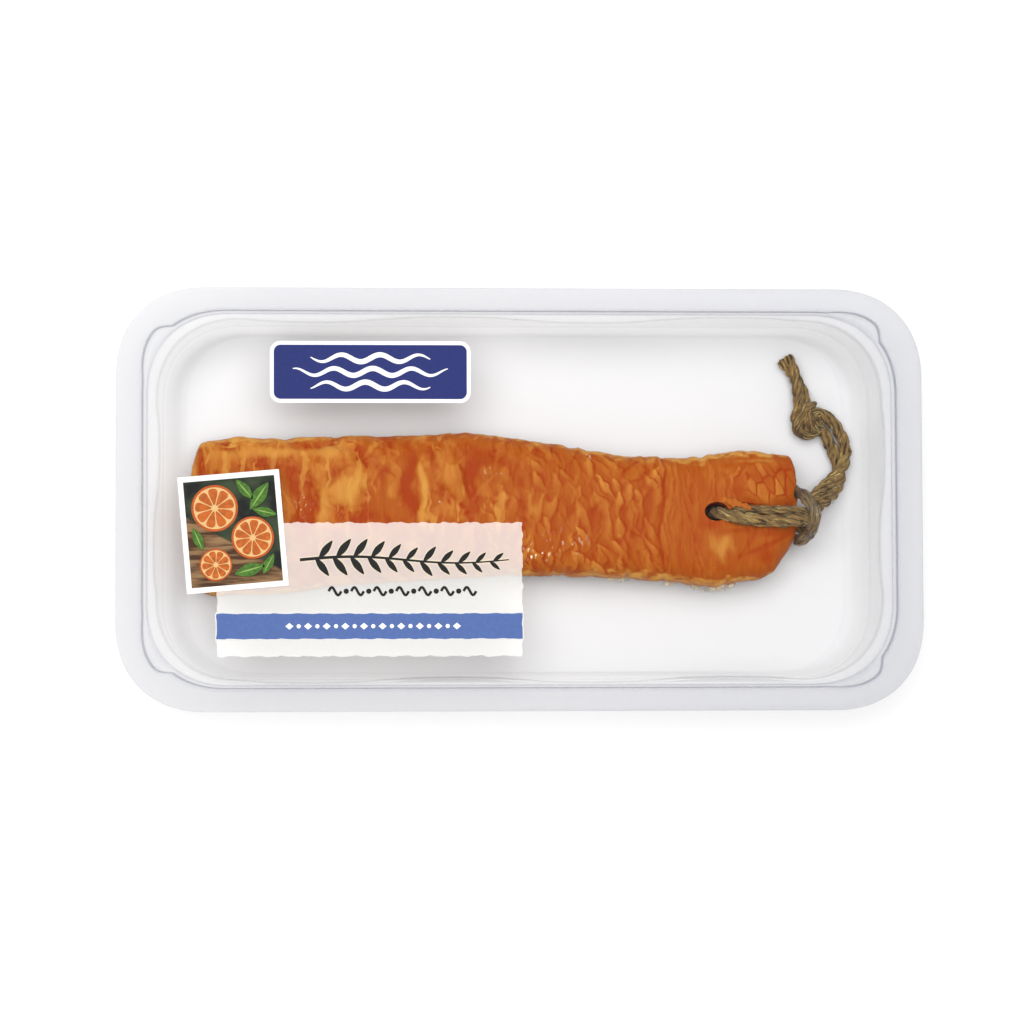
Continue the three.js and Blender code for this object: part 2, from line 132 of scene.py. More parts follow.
# The hole for the twine: its place, length and width; the lower and upper radius of the cone that cuts it, for a
# hole of size 1; and the cone's height and the height of its middle
HOLE = (56.6, -3.1, 6.8, 5.4)
HOLE_FOOT, HOLE_MOUTH = 0.26, 0.54
HOLE_DEPTH, HOLE_MIDDLE = 24.0, 10.5

# Flakes that stand out near the twine: place, half length and half width in millimetres, lean in degrees, strength
CHUNKS = (
    (62, 8.6, 3.4, 0.8, 28, 0.7), (64.6, 9.4, 3.4, 0.8, 30, 0.7), (67.2, 9.8, 3.2, 0.8, 30, 0.7),
    (66.4, 6, 2.8, 0.9, 44, 0.7), (60.4, 5.6, 3, 0.8, 12, 0.5), (69.4, 11, 2.2, 0.7, 32, 0.6),
)
# Broken wedges of flesh between cracks: middle, half length and half width, pitches of the wedges and their lean
WEDGES = (72.4, 6.2, 8.4, 7.4, 2.5, 5.6, -24)
# Tinted spots: place, half length and half width in millimetres, and strength, above 0 for deep red and below 0
# for yellow
TINTS = (
    (-10.1, 12.1, 4.6, 2.6, 0.6), (-13.3, -2.5, 1.6, 1.6, 0.5), (21.7, -4.6, 2.2, 4.4, 0.7),
    (36.2, -2, 3.4, 10, 0.4), (30, -12, 5, 5, 0.3), (76.7, 10.6, 1.8, 3, 0.7), (73, -9.3, 5, 1.4, 0.7),
    (71.6, -15.6, 3, 3, 0.4), (61.8, 2.7, 3, 2.2, 0.5), (55, -7.2, 3, 1.3, 0.6), (20.2, -3.3, 0.6, 1.4, 1),
    (28.7, -11.6, 0.8, 0.8, 1), (32.2, -10.2, 0.7, 0.8, 0.9), (70, 8.3, 8, 3.2, 0.45), (68, 13.2, 9, 1.2, -0.5),
    (56, -12.2, 2.6, 4, -0.4), (-2.9, 7.3, 3, 3, -0.4), (3.9, -2.5, 4, 2.2, -0.4), (59, 5.2, 1.6, 3.6, -0.4),
    (62.5, 9.6, 6, 1.4, -0.3), (55.4, -4.6, 3.6, 2.6, 0.7), (66, -11.4, 1, 4, 0.35), (70.6, -12.6, 0.9, 4.4, 0.3),
    (61.4, -14, 2.2, 3.2, -0.3), (-93.2, 2, 1.3, 16, -0.8), (-84, 15, 7, 2.2, -0.35), (-66, 15.6, 6, 1.6, -0.4),
    (-42, -10, 18, 7, -0.3), (-52, 4, 10, 8, -0.2),
)
# Folds that fan out below the twine, sunk in the relief and painted darker as shade, one of them a painted shadow
# under the strand, and one pale band, with the same values as FOLDS
FAN = (
    (72, -12.6, 7.5, 0.9, -28, 0.8), (62.5, -8.6, 5, 0.7, -4, 0.6), (58.8, -14.5, 1.5, 5, 0, -0.6),
    (70.5, -17, 3.2, 2.6, 0, 0.4), (65.5, -13, 0.7, 4.5, 18, 0.5), (62.6, -15.5, 0.6, 4.5, 8, 0.4),
)
# Painted highlights: spots where pale specks are painted on the flesh as glints, with the same values as TINTS
PAINTED_GLINTS = (
    (3.4, -16.2, 2.6, 2.6, 1), (7.2, -14.5, 1.4, 3, 0.8), (-61.8, -1.2, 1.6, 2.2, 0.8), (-23, -0.6, 1.2, 2, 0.6),
    (14.5, -12, 4, 3, 0.4), (20, 15.4, 1.4, 0.8, 0.7), (-8, 8.2, 2, 1.4, 0.5),
)
# Stretches where yellow fat shows along an edge: the middle and half length along x, and its reach
BACK_FAT = (
    (-84, 9, 0.5), (-62, 14, 0.3), (-8, 5, 0.3), (8, 6, 0.4), (24, 8, 1), (37, 3, 0.7), (53, 9, 1), (66, 9, 0.8),
)
FRONT_FAT = ((2, 5, 0.4), (27, 9, 0.7), (39, 6, 0.8), (52, 8, 0.8), (63, 4, 0.5), (-88, 6, 0.6))

# Folds and pale patches that stand out on the smooth half of the salmon: place, half length and half width in
# millimetres, lean in degrees, and strength, above 0 for a deep fold, which the finish also paints darker as shade,
# and below 0 for a pale patch
FOLDS = (
    (-63.5, 3, 2.2, 11, -8, 0.9), (-59.3, -2, 2, 7, 4, 0.8), (-44, -4.5, 7.5, 2.6, 12, 0.6),
    (-31.8, 5.5, 2.3, 12, 2, 1), (-25.6, 11.5, 1.6, 6, -14, 0.6), (-13.8, 5, 2.6, 11, 6, 1),
    (-10, 15, 6, 3.2, 0, 0.7), (-3, 10.5, 1.6, 5, -20, 0.6), (0.8, -2.5, 1.2, 8, 6, 0.7),
    (-54.5, 15.2, 4, 2.4, 8, -0.9), (-49, 3.2, 4.2, 5.6, 10, -0.7), (-56.4, -1.2, 1.5, 6.5, 8, -0.6),
    (-28, 7.5, 1.1, 6.5, 0, -0.9), (-27.8, -3.4, 1.4, 4.2, 0, -0.8), (-12.3, 4.2, 2, 3.2, 12, -0.7),
    (-72, 14.8, 8, 2.2, 2, -0.5), (-88.5, 2, 1.6, 12, 2, -0.5),
)

# The twine in millimetres: its thicknesses, its clearance in the flesh, and its routes, the same as the solids'
STRAND, TAIL, TIP = 3.2, 5.4, 4.6
CLEARANCE = 0.3
YARNS, YARN_SIDES = 3, 20
FRONT_STRAND_PATH = (
    (84.6, -5.4, 15.6), (82, -5.6, 18.6), (78, -5.7, 19.7), (73, -5.9, 20.1), (68, -5.6, 20.3), (62.9, -4.9, 20.2),
    (59, -4, 18.6), (57, -3.2, 15), (56.6, -3.1, 10), (57, -3.2, 5.4), (60, -3.6, 3), (67, -4, 2.8), (76, -5, 2.8),
    (81.6, -6.4, 4.2), (84.2, -7.8, 8.4), (84.6, -8, 13.6), (84.3, -7.2, 18),
)
BACK_STRAND_PATH = (
    (83.4, -3.2, 17.6), (79, -2.7, 19.5), (73, -2.7, 19.9), (68, -2.6, 19.8), (63, -2.4, 18.7), (59.6, -2.8, 15),
    (58.6, -3, 11),
)
HITCH_PATH = (
    (79.7, 3.6, 10), (80.6, 3, 14), (81.9, 1.7, 17.4), (83.2, -0.1, 20), (84.3, -2.5, 21), (84.8, -4.8, 20.6),
    (84.6, -7, 18.8), (83.9, -9, 15.6), (82.5, -10.5, 12), (80.9, -11.1, 9),
)
TAIL_PATH = (
    (85.2, -0.8, 13.2), (87.4, 1.5, 10.2), (90, 4.2, 7.2), (92.8, 7.2, 5), (94.3, 10.6, 4.1), (94.7, 14, 3.9),
    (94.2, 17.4, 3.9), (92.4, 20.6, 3.9), (90, 22.8, 4), (88, 24, 4.1),
)
TIP_PATH = (
    (83.8, 26.8, 4.8), (83.6, 30.4, 4), (83, 33.6, 3.5), (81.9, 36.8, 3.5), (80.4, 39.8, 3.6), (78.4, 42.6, 3.8),
)

# The tail's two strands, which part and cross along its route, and the turns of its knot with their thicknesses
OUTER_TAIL_PATH = (
    (86.4, 25.6, 4.6), (88.4, 26.6, 4.4), (90.7, 25.4, 3.8), (93, 23.4, 3.1), (94.8, 20.8, 2.9), (96, 17.6, 2.9),
    (96.2, 14.3, 3.2), (95.4, 11.3, 4.6), (93.5, 8.6, 5.8), (91.3, 6.3, 6.8), (89, 4.3, 8.6), (86.6, 2.2, 10.8),
    (84.9, 0.6, 12.6),
)
INNER_TAIL_PATH = (
    (84.8, 24.2, 4.2), (86.8, 24, 4), (88.3, 22.8, 3.7), (90.1, 20.6, 3.2), (91.6, 18, 2.9), (92.8, 15.2, 2.8),
    (93.7, 12.6, 2.8), (94.4, 10, 2.8), (94.6, 7.3, 3.4), (93.5, 4.7, 5.4), (91.5, 2.3, 7.8), (89.2, 0.4, 10.4),
    (86.9, -1.2, 12.6),
)
KNOT_TURNS = (
    ((
        (84.8, 21.4, 3.9), (84.8, 23.6, 4.4), (84.5, 26.2, 4.4), (83.8, 29, 4.2),
    ), 4.6),
    ((
        (88, 21.6, 3.4), (86.6, 20.6, 3.9), (84.6, 20.3, 4.2), (82.8, 21.2, 4.2), (82, 23.6, 4),
        (82.2, 26.6, 4), (83, 29.6, 4),
    ), 3.4),
    ((
        (89.4, 22.6, 3.8), (87.6, 22, 5.4), (86, 22.8, 6.6), (84.9, 24.8, 6.6), (84.6, 27, 5.8),
        (85.6, 28.8, 4.6),
    ), 3.4),
    ((
        (87.3, 29, 4.4), (86.2, 28.6, 6.2), (84.6, 27.1, 7), (83.2, 24.8, 6.9), (82.2, 22.4, 5.9),
        (81.9, 20.6, 4.2),
    ), 2.1),
)


def linear(red, green, blue):
    """A colour picked on a screen, as the linear values that a shader takes."""
    def channel(value):
        value /= 255
        return value / 12.92 if value <= 0.04045 else ((value + 0.055) / 1.055) ** 2.4
    return (channel(red), channel(green), channel(blue), 1.0)


def colour_property(name, description, default):
    return bpy.props.FloatVectorProperty(
        name=name, description=description, default=default, size=4, min=0, max=1, subtype="COLOR",
    )


def length_property(name, description, default):
    return bpy.props.FloatProperty(name=name, description=description, default=default, min=0, unit="LENGTH")


class PackSizes(bpy.types.PropertyGroup):
    """Sizes of the tray, the film and the labels."""
    ear_reach: length_property("Corner pocket", "How far a corner pocket reaches into the flange", 2.5 * MM)
    bow_depth: length_property("Side bows", "How far the ledge bows in and out", 0.8 * MM)
    film_base: length_property("Film height", "Height of the film's underside", FILM_LOW.z)
    print_sheet: length_property("Print sheet", "Thickness of one layer of print", 0.05 * MM)
    plate_corner: length_property("Plate corner", "Corner radius of the name plate", 3 * MM)
    card_length: length_property("Card length", "Length of the picture card", 28.8 * MM)
    card_width: length_property("Card width", "Width of the picture card", 33.1 * MM)
    card_turn: bpy.props.FloatProperty(
        name="Card turn", description="How far the card leans to the left", default=math.radians(4.9),
        unit="ROTATION",
    )


class FoodSizes(bpy.types.PropertyGroup):
    """Sizes of the salmon's relief and of the twine."""
    fold_depth: length_property("Fold depth", "Depth of the broad folds", 0.7 * MM)
    flake_depth: length_property("Flake depth", "Depth of the grooves between flakes", 0.8 * MM)
    crease_depth: length_property("Crease depth", "Depth of the one crease across the strip", 0.6 * MM)
    strand: length_property("Strand", "Thickness of one strand of twine", STRAND * MM)
    tail: length_property("Tail", "Thickness of the doubled tail", TAIL * MM)
    tip: length_property("Tip", "Thickness of the end past the knot", TIP * MM)


class PackColours(bpy.types.PropertyGroup):
    """Colours of every finish."""
    plastic: colour_property("Plastic", "Tint of the clear plastic", linear(214, 214, 217))
    # The flange tint also paints shade towards the right of the tray and on the floor's lower right
    haze: colour_property("Flange", "Tint of the flange, where the plastic is thickest", linear(172, 173, 182))
    # The bend tint is painted shade: dark lines at the bends in place of refraction
    bend: colour_property("Bends", "Tint of the plastic at a bend", linear(120, 126, 146))
    flesh: colour_property("Flesh", "Main colour of the salmon", linear(168, 82, 15))
    # The deep colour is also painted shade in grooves, folds, cracks and under the twine
    deep: colour_property("Deep flesh", "Colour in folds and grooves", linear(158, 56, 2))
    # The pale colour also paints highlights on the ridges
    pale: colour_property("Pale flesh", "Colour of flakes that stand up", linear(202, 130, 52))
    rim: colour_property("Rim", "Colour of the strip's thin edges", linear(210, 152, 66))
    fat: colour_property("Fat", "Colour of the shreds of fat", linear(238, 226, 196))
    jute: colour_property("Twine", "Main colour of the twine", linear(150, 118, 66))
    # The groove colour is also painted shade in the cracks between the fibres
    jute_dark: colour_property("Twine grooves", "Colour between the fibres", linear(50, 34, 20))
    jute_light: colour_property("Twine fibres", "Colour of the pale fibres", linear(206, 186, 120))
    white: colour_property("White print", "Colour of white print", linear(250, 250, 250))
    blue: colour_property("Blue print", "Colour of the band", linear(80, 106, 166))
    navy: colour_property("Navy print", "Colour of the name plate", linear(24, 38, 108))
    ink: colour_property("Ink", "Colour of the dark ornament", linear(4, 4, 6))
    floor: colour_property("Floor", "Colour of the floor", linear(250, 250, 250))


def sizes():
    return bpy.context.scene.salmon_pack_sizes


def food():
    return bpy.context.scene.salmon_food_sizes


def chosen(name):
    """One of the pack's colours, as plain numbers."""
    return tuple(getattr(bpy.context.scene.salmon_pack_colours, name))


# Shaders
class Value:
    """A shader value: the output of a node, which the usual operators join by Math nodes."""

    def __init__(self, finish, socket):
        self.finish = finish
        self.socket = socket

    def maths(self, operation, first, second):
        return self.finish.node("ShaderNodeMath", {"operation": operation}, {0: first, 1: second})

    def __add__(self, other):
        return self.maths("ADD", self, other)

    def __radd__(self, other):
        return self.maths("ADD", other, self)

    def __sub__(self, other):
        return self.maths("SUBTRACT", self, other)

    def __rsub__(self, other):
        return self.maths("SUBTRACT", other, self)

    def __mul__(self, other):
        return self.maths("MULTIPLY", self, other)

    def __rmul__(self, other):
        return self.maths("MULTIPLY", other, self)

    def clamped(self):
        return self.finish.node("ShaderNodeClamp", {}, {"Value": self})


class Finish:
    """A material with one Principled shader and the nodes that feed it."""

    def __init__(self, name, **fixed):
        self.material = bpy.data.materials.new(name)
        self.material.use_nodes = True
        self.tree = self.material.node_tree
        self.shader = self.tree.nodes["Principled BSDF"]
        for socket, value in fixed.items():
            self.shader.inputs[socket.replace("_", " ")].default_value = value

    def plug(self, value, socket):
        if isinstance(value, Value):
            self.tree.links.new(value.socket, socket)
        else:
            socket.default_value = value

    def node(self, kind, settings=None, sockets=None, output=0):
        """A node of a kind, with its settings made first and then its sockets filled or linked."""
        made = self.tree.nodes.new(kind)
        for name, value in (settings or {}).items():
            setattr(made, name, value)
        for name, value in (sockets or {}).items():
            self.plug(value, made.inputs[name])
        return Value(self, made.outputs[output])

    def place(self):
        return self.node("ShaderNodeTexCoord", output="Object")

    def uv(self):
        return self.node("ShaderNodeTexCoord", output="UV")

    def attribute(self, name):
        return self.node("ShaderNodeAttribute", {"attribute_name": name}, output="Fac")

    def mapped(self, vector, scale=(1, 1, 1), rotation=(0, 0, 0), location=(0, 0, 0)):
        sockets = {"Vector": vector, "Location": location, "Rotation": rotation, "Scale": scale}
        return self.node("ShaderNodeMapping", {}, sockets)

    def noise(self, vector, scale, detail=2.0, roughness=0.5, distortion=0.0, stretch=None, shift=(0, 0, 0)):
        """Noise, which stretch draws out and shift moves to another part of its pattern."""
        if stretch:
            vector = self.mapped(vector, scale=stretch, location=shift)
        sockets = {
            "Vector": vector, "Scale": scale, "Detail": detail, "Roughness": roughness, "Distortion": distortion,
        }
        return self.node("ShaderNodeTexNoise", {}, sockets)

    def span(self, value, low, high):
        """How far the value is on its smooth way from low to high, from 0 to 1."""
        sockets = {"Value": value, "From Min": low, "From Max": high}
        return self.node("ShaderNodeMapRange", {"interpolation_type": "SMOOTHSTEP"}, sockets)

    def warped(self, vector, scale, amount):
        """The vector pushed about by noise, by at most half the amount each way."""
        push = self.node("ShaderNodeTexNoise", {}, {"Vector": vector, "Scale": scale, "Detail": 2.0}, output="Color")
        centred = self.node("ShaderNodeVectorMath", {"operation": "SUBTRACT"}, {0: push, 1: (0.5, 0.5, 0.5)})
        scaled = self.node("ShaderNodeVectorMath", {"operation": "SCALE"}, {0: centred, "Scale": 2 * amount})
        return self.node("ShaderNodeVectorMath", {"operation": "ADD"}, {0: vector, 1: scaled})

    def mix(self, factor, first, second):
        return self.node("ShaderNodeMix", {"data_type": "RGBA"}, {0: factor, 6: first, 7: second}, output=2)

    def layered(self, base, *layers):
        """The base with other colours laid over it in turn, each as far as its cover says."""
        for cover, colour in layers:
            base = self.mix(cover, base, colour)
        return base

    def feed(self, **values):
        for name, value in values.items():
            self.plug(value, self.shader.inputs[name.replace("_", " ")])

    def bump(self, height, strength, distance):
        sockets = {"Height": height, "Strength": strength, "Distance": distance}
        self.plug(self.node("ShaderNodeBump", {}, sockets), self.shader.inputs["Normal"])


def tray_finish():
    """Clear formed plastic: clearest on the floor, hazy on the flange, with painted shade towards the right and dark
    lines painted at its bends.
    """
    finish = Finish("clear_plastic", IOR=1.5)
    bend = finish.attribute("bend")
    haze = finish.attribute("haze")
    cloud = finish.noise(finish.place(), 45.0, 2.0)
    tint = finish.mix(haze, chosen("plastic"), chosen("haze"))
    finish.feed(
        Base_Color=finish.mix(bend, tint, chosen("bend")),
        Alpha=0.08 + 0.17 * haze + 0.34 * bend,
        Roughness=0.1 + 0.1 * cloud,
    )
    return finish.material


def film_finish():
    """Clear film, all but unseen save for its gloss."""
    finish = Finish("clear_film", IOR=1.4, Alpha=0.008)
    cloud = finish.noise(finish.place(), 45.0, 2.0)
    finish.feed(Base_Color=chosen("plastic"), Roughness=0.05 + 0.08 * cloud)
    return finish.material


def flesh_finish():
    """Smoked flesh: red in its grooves as painted shade, paler on its flakes and thin edges, painted highlights on
    its ridges, and fine fibres across the strip.
    """
    finish = Finish("smoked_flesh", IOR=1.4, Coat_Roughness=0.1, Specular_IOR_Level=0.08)
    place = finish.place()
    rise, tone, depth = finish.attribute("rise"), finish.attribute("tone"), finish.attribute("depth")
    rim, flaky = finish.attribute("rim"), finish.attribute("flaky")
    flake, edge = finish.attribute("flake"), finish.attribute("edge")
    glint = finish.attribute("glint")
    warp = finish.warped(place, 260.0, 0.0016)
    fibres = finish.noise(warp, 1300.0, 3.0, 0.6, stretch=(1.0, 0.1, 0.3))
    cloud = finish.noise(warp, 150.0, 4.0, 0.6, stretch=(1.0, 0.5, 1.0))
    patches = finish.noise(warp, 190.0, 4.0, 0.6, 0.6, stretch=(1.0, 0.7, 1.0), shift=(0.3, 0, 0))
    streaks = finish.noise(warp, 420.0, 3.0, 0.6, stretch=(1.0, 0.2, 0.5), shift=(0.7, 0, 0))
    threads = finish.noise(warp, 330.0, 2.0, stretch=(1.0, 0.16, 0.5), shift=(1.9, 0.4, 0))
    specks = finish.noise(place, 1100.0, 1.0, stretch=(1.0, 0.5, 1.0))
    smooth = 1 - flaky
    uneven, fibrous = cloud - 0.5, fibres - 0.5
    flesh, deep, pale, rim_colour = chosen("flesh"), chosen("deep"), chosen("pale"), chosen("rim")
    span = finish.span
    soft, crisp = span(flake + 0.5 * uneven, 0.05, 0.8), span(flake + 0.6 * uneven, 0.24, 0.42)
    base = finish.layered(
        # Painted shade in the hollows, then painted highlights on the ridges, by the cavity field
        finish.mix(span(rise + 0.8 * uneven, 0.0, 0.6), deep, flesh),
        ((0.35 + 0.12 * smooth) * span(rise + 0.4 * tone + 0.8 * uneven, 0.5, 1.25), pale),
        (0.35 * smooth * span(patches + 0.15 * tone, 0.5, 0.58), pale),
        ((0.2 + 0.1 * smooth) * (1 - span(streaks, 0.32, 0.46)), deep),
        (0.7 * flaky * soft + 0.42 * smooth * crisp, pale),
        ((0.3 + 0.12 * smooth) * span(flake + 0.9 * fibrous, 0.4, 0.9), rim_colour),
        # Painted shade along the flakes' edges and in the cracks between the wedges
        (0.85 * span(edge + 0.4 * fibrous, 0.15, 0.8), deep),
        (0.5 * smooth * span(threads, 0.6, 0.65), rim_colour),
        (0.2 * span(fibres, 0.52, 0.72), pale),
        (0.25 * (1 - span(fibres, 0.3, 0.46)), deep),
        # Painted shade in the folds, the crease and the trough under the twine, along with the tinted spots' own
        # colour
        (0.7 * span(depth + 0.3 * uneven, 0.05, 0.9), deep),
        (0.55 * span(0.9 * uneven - depth, 0.1, 0.7), rim_colour),
        ((rim * span(cloud, 0.28, 0.5)).clamped(), rim_colour),
        # Near-white specks on the glint spots: painted highlights
        ((glint * span(specks, 0.6, 0.66)).clamped(), linear(255, 246, 206)),
    )
    finish.feed(Base_Color=base, Roughness=0.36 + 0.2 * fibres)
    finish.bump(fibres + 0.6 * cloud, 0.5, 0.0005)
    return finish.material


def jute_finish(name, wet):
    """Coarse twine: long fibres along each yarn, dark cracks between them as painted shade, and pale streaks of
    fibre.
    """
    finish = Finish(name, Sheen_Weight=0.1, Specular_IOR_Level=0.3 + 0.3 * wet, Coat_Roughness=0.1)
    uv = finish.uv()
    wander = finish.warped(uv, 3.0, 0.12)
    fibres = finish.noise(wander, 1.0, 4.0, 0.7, 0.4, stretch=(9.0, 1.6, 1.0))
    cracks = finish.noise(wander, 1.0, 3.0, 0.6, stretch=(6.0, 1.3, 1.0), shift=(5, 2, 0))
    strands = finish.noise(wander, 1.0, 2.0, stretch=(20.0, 2.6, 1.0), shift=(3, 7, 0))
    stains = finish.noise(finish.place(), 210.0, 3.0)
    dark, middle, light = chosen("jute_dark"), chosen("jute"), chosen("jute_light")
    base = finish.layered(
        finish.mix(finish.span(fibres, 0.36, 0.54), dark, middle),
        (0.85 * finish.span(strands, 0.54, 0.68), light),
        # Dark cracks between the fibres: painted shade
        (0.8 * (1 - finish.span(cracks, 0.34, 0.42)), dark),
        ((0.35 + 0.3 * wet) * finish.span(stains, 0.48, 0.72), dark),
    )
    if wet:
        # The wet hitch is darker, and near-white spots are painted on it as glints: painted highlights
        painted_highlight_spots = finish.noise(uv, 1.0, 2.0, stretch=(2.2, 1.6, 1.0), shift=(1.3, 4.1, 0))
        base = finish.layered(base, (0.4, dark), (0.9 * finish.span(painted_highlight_spots, 0.66, 0.7), linear(244, 242, 236)))
        finish.feed(Coat_Weight=0.5 * finish.span(fibres, 0.3, 0.6))
    finish.feed(Base_Color=base, Roughness=0.85 - 0.5 * wet + 0.1 * fibres)
    finish.bump(fibres + 0.8 * cracks + 0.5 * strands, 0.9, 0.0008)
    return finish.material


def print_finish(name, colour, alpha=1.0, speckle=0.02, glow=0.0):
    """Flat print on film, with the slight unevenness of ink."""
    finish = Finish(name, Alpha=alpha, Roughness=0.45, Specular_IOR_Level=0.15, Emission_Strength=glow)
    finish.feed(Emission_Color=tuple(colour))
    ink = finish.noise(finish.place(), 900.0, 2.0)
    darker = tuple(channel * (1 - 4 * speckle) for channel in colour[:3]) + (1.0,)
    finish.feed(Base_Color=finish.mix(finish.span(ink, 0.3, 0.7), darker, tuple(colour)))
    return finish.material


def fat_finish():
    """Pale fat, which thins out to nothing in places."""
    finish = Finish("fat", Roughness=0.3)
    cloud = finish.noise(finish.place(), 700.0, 3.0)
    finish.feed(
        Base_Color=finish.mix(finish.span(cloud, 0.35, 0.7), linear(252, 248, 236), chosen("fat")),
        Alpha=0.2 + 0.7 * finish.span(cloud, 0.38, 0.62),
    )
    return finish.material


def floor_finish():
    """A matt floor that is all but even."""
    finish = Finish("floor", Roughness=0.7, Specular_IOR_Level=0.1)
    grain = finish.noise(finish.place(), 4.0, 2.0)
    shade = tuple(0.985 * channel for channel in chosen("floor")[:3]) + (1.0,)
    finish.feed(Base_Color=finish.mix(grain, shade, chosen("floor")))
    return finish.material


# Modelling
def deselect():
    if bpy.context.object is not None and bpy.context.object.mode != "OBJECT":
        bpy.ops.object.mode_set(mode="OBJECT")
    bpy.ops.object.select_all(action="DESELECT")


def activate(piece):
    deselect()
    piece.select_set(True)
    bpy.context.view_layer.objects.active = piece


def apply_modifier(piece, kind, **settings):
    activate(piece)
    modifier = piece.modifiers.new(kind.lower(), kind)
    for name, value in settings.items():
        setattr(modifier, name, value)
    bpy.ops.object.modifier_apply(modifier=modifier.name)


def joined(pieces, name):
    """One object from several."""
    deselect()
    for piece in pieces:
        piece.select_set(True)
    bpy.context.view_layer.objects.active = pieces[0]
    if len(pieces) > 1:
        bpy.ops.object.join()
    pieces[0].name = pieces[0].data.name = name
    return pieces[0]


def settle(piece):
    """The piece's place goes into its mesh, so that its object sits at the origin."""
    activate(piece)
    bpy.ops.object.transform_apply(location=True, rotation=True, scale=True)


def points_of(piece):
    points = np.empty(len(piece.data.vertices) * 3)
    piece.data.vertices.foreach_get("co", points)
    return points.reshape(-1, 3)


def move_points(piece, points):
    """Lays the piece's points at places in millimetres."""
    piece.data.vertices.foreach_set("co", (points * MM).reshape(-1))
    piece.data.update()


def turned(x, y, angle):
    """Places turned about the origin by an angle in radians."""
    return x * math.cos(angle) - y * math.sin(angle), x * math.sin(angle) + y * math.cos(angle)


def dress(piece, material, smooth=40):
    """Gives the piece its place for good, its only material, and smooth shading up to an angle in degrees."""
    settle(piece)
    piece.data.materials.clear()
    piece.data.materials.append(material)
    if smooth:
        activate(piece)
        bpy.ops.object.shade_smooth_by_angle(angle=math.radians(smooth))


def register_piece(piece, slot, *nodes):
    """Hangs the piece on the root body and hides the solids that it stands for. The slot, where it would take its
    finish from, is not used.
    """
    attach(piece, "root")
    if nodes:
        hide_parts(*nodes)


def complete(piece, material, slot, *nodes, smooth=40):
    dress(piece, material, smooth)
    register_piece(piece, slot, *nodes)


def wrapped_grid(name, rings, attributes=None, closed=True, length=0.0):
    """A grid primitive laid on rings of points in metres, sewn along its seam and filled at both ends."""
    rows, columns = rings.shape[:2]
    deselect()
    bpy.ops.mesh.primitive_grid_add(x_subdivisions=columns, y_subdivisions=rows - 1, size=1)
    piece = bpy.context.object
    piece.name = piece.data.name = name
    around = np.concatenate([rings, rings[:, :1]], axis=1)
    piece.data.vertices.foreach_set("co", around.reshape(-1))
    for key, values in (attributes or {}).items():
        field = piece.data.attributes.new(key, "FLOAT", "POINT")
        field.data.foreach_set("value", np.concatenate([values, values[:, :1]], axis=1).reshape(-1))
    if length:
        layer = piece.data.uv_layers.active.data
        flat = np.empty(len(layer) * 2)
        layer.foreach_get("uv", flat)
        flat[1::2] *= length
        layer.foreach_set("uv", flat)
    piece.data.update()
    bpy.ops.object.mode_set(mode="EDIT")
    bpy.ops.mesh.select_all(action="SELECT")
    bpy.ops.mesh.remove_doubles(threshold=1e-6)
    if closed:
        bpy.ops.mesh.fill_holes(sides=0)
    bpy.ops.mesh.select_all(action="SELECT")
    bpy.ops.mesh.normals_make_consistent(inside=False)
    bpy.ops.object.mode_set(mode="OBJECT")
    return piece


def scatter(index):
    """Repeatable numbers from 0 to 1 for whole numbers."""
    wave = np.sin(np.asarray(index) * 12.9898 + 4.1) * 43758.5453
    return wave - np.floor(wave)


def smooth_step(low, high, value):
    t = np.clip((value - low) / (high - low), 0, 1)
    return t * t * (3 - 2 * t)


# Tray and film
def ear_share(angle):
    """How far a corner pocket stands out at an angle of its corner, from 0 to 1."""
    rise = np.sin(np.clip((angle - EAR_START) / (EAR_PEAK - EAR_START), 0, 1) * math.pi / 2)
    fall = np.cos(np.clip((angle - EAR_PEAK) / (EAR_END - EAR_PEAK), 0, 1) * math.pi / 2) ** 1.3
    return np.where(angle < EAR_PEAK, rise, fall)


def bow_share(step):
    """How far a bow stands out at a step along it, from 0 to 1."""
    inside = np.clip((step - BOW_GAP) / (1 - 2 * BOW_GAP), 0, 1)
    return np.sqrt(np.clip(1 - (2 * inside - 1) ** 2, 0, 1))


def tray_ring(half_x, half_y, radius, z, ear, bow):
    """One ring round the tray, in millimetres: four sides with their bows, and four corners."""
    ear_reach = sizes().ear_reach / MM * ear
    bow_depth = sizes().bow_depth / MM * bow
    power = 2 / CORNER_POWER
    points = []
    for side in range(4):
        turn = side * math.pi / 2
        long_side = side % 2 == 1
        reach, half = (half_y, half_x - radius) if long_side else (half_x, half_y - radius)
        bows = BOWS_LONG if long_side else BOWS_SHORT
        step = np.arange(BOW_STEPS) / BOW_STEPS
        outward, sideways = [], []
        for k in range(bows):
            way = 1 if (k % 2 == 0) == long_side else -1
            outward.append(reach + way * bow_depth * bow_share(step))
            sideways.append(half * (2 * (k + step) / bows - 1))
        angle = np.arange(CORNER_STEPS) / CORNER_STEPS * 90
        reached = radius + ear_reach * ear_share(90 - angle if side >= 2 else angle)
        outward.append(reach - radius + reached * np.cos(np.radians(angle)) ** power)
        sideways.append(half + reached * np.sin(np.radians(angle)) ** power)
        outward, sideways = np.concatenate(outward), np.concatenate(sideways)
        points.append(np.stack([*turned(outward, sideways, turn), np.full_like(outward, z)], axis=1))
    return np.concatenate(points)


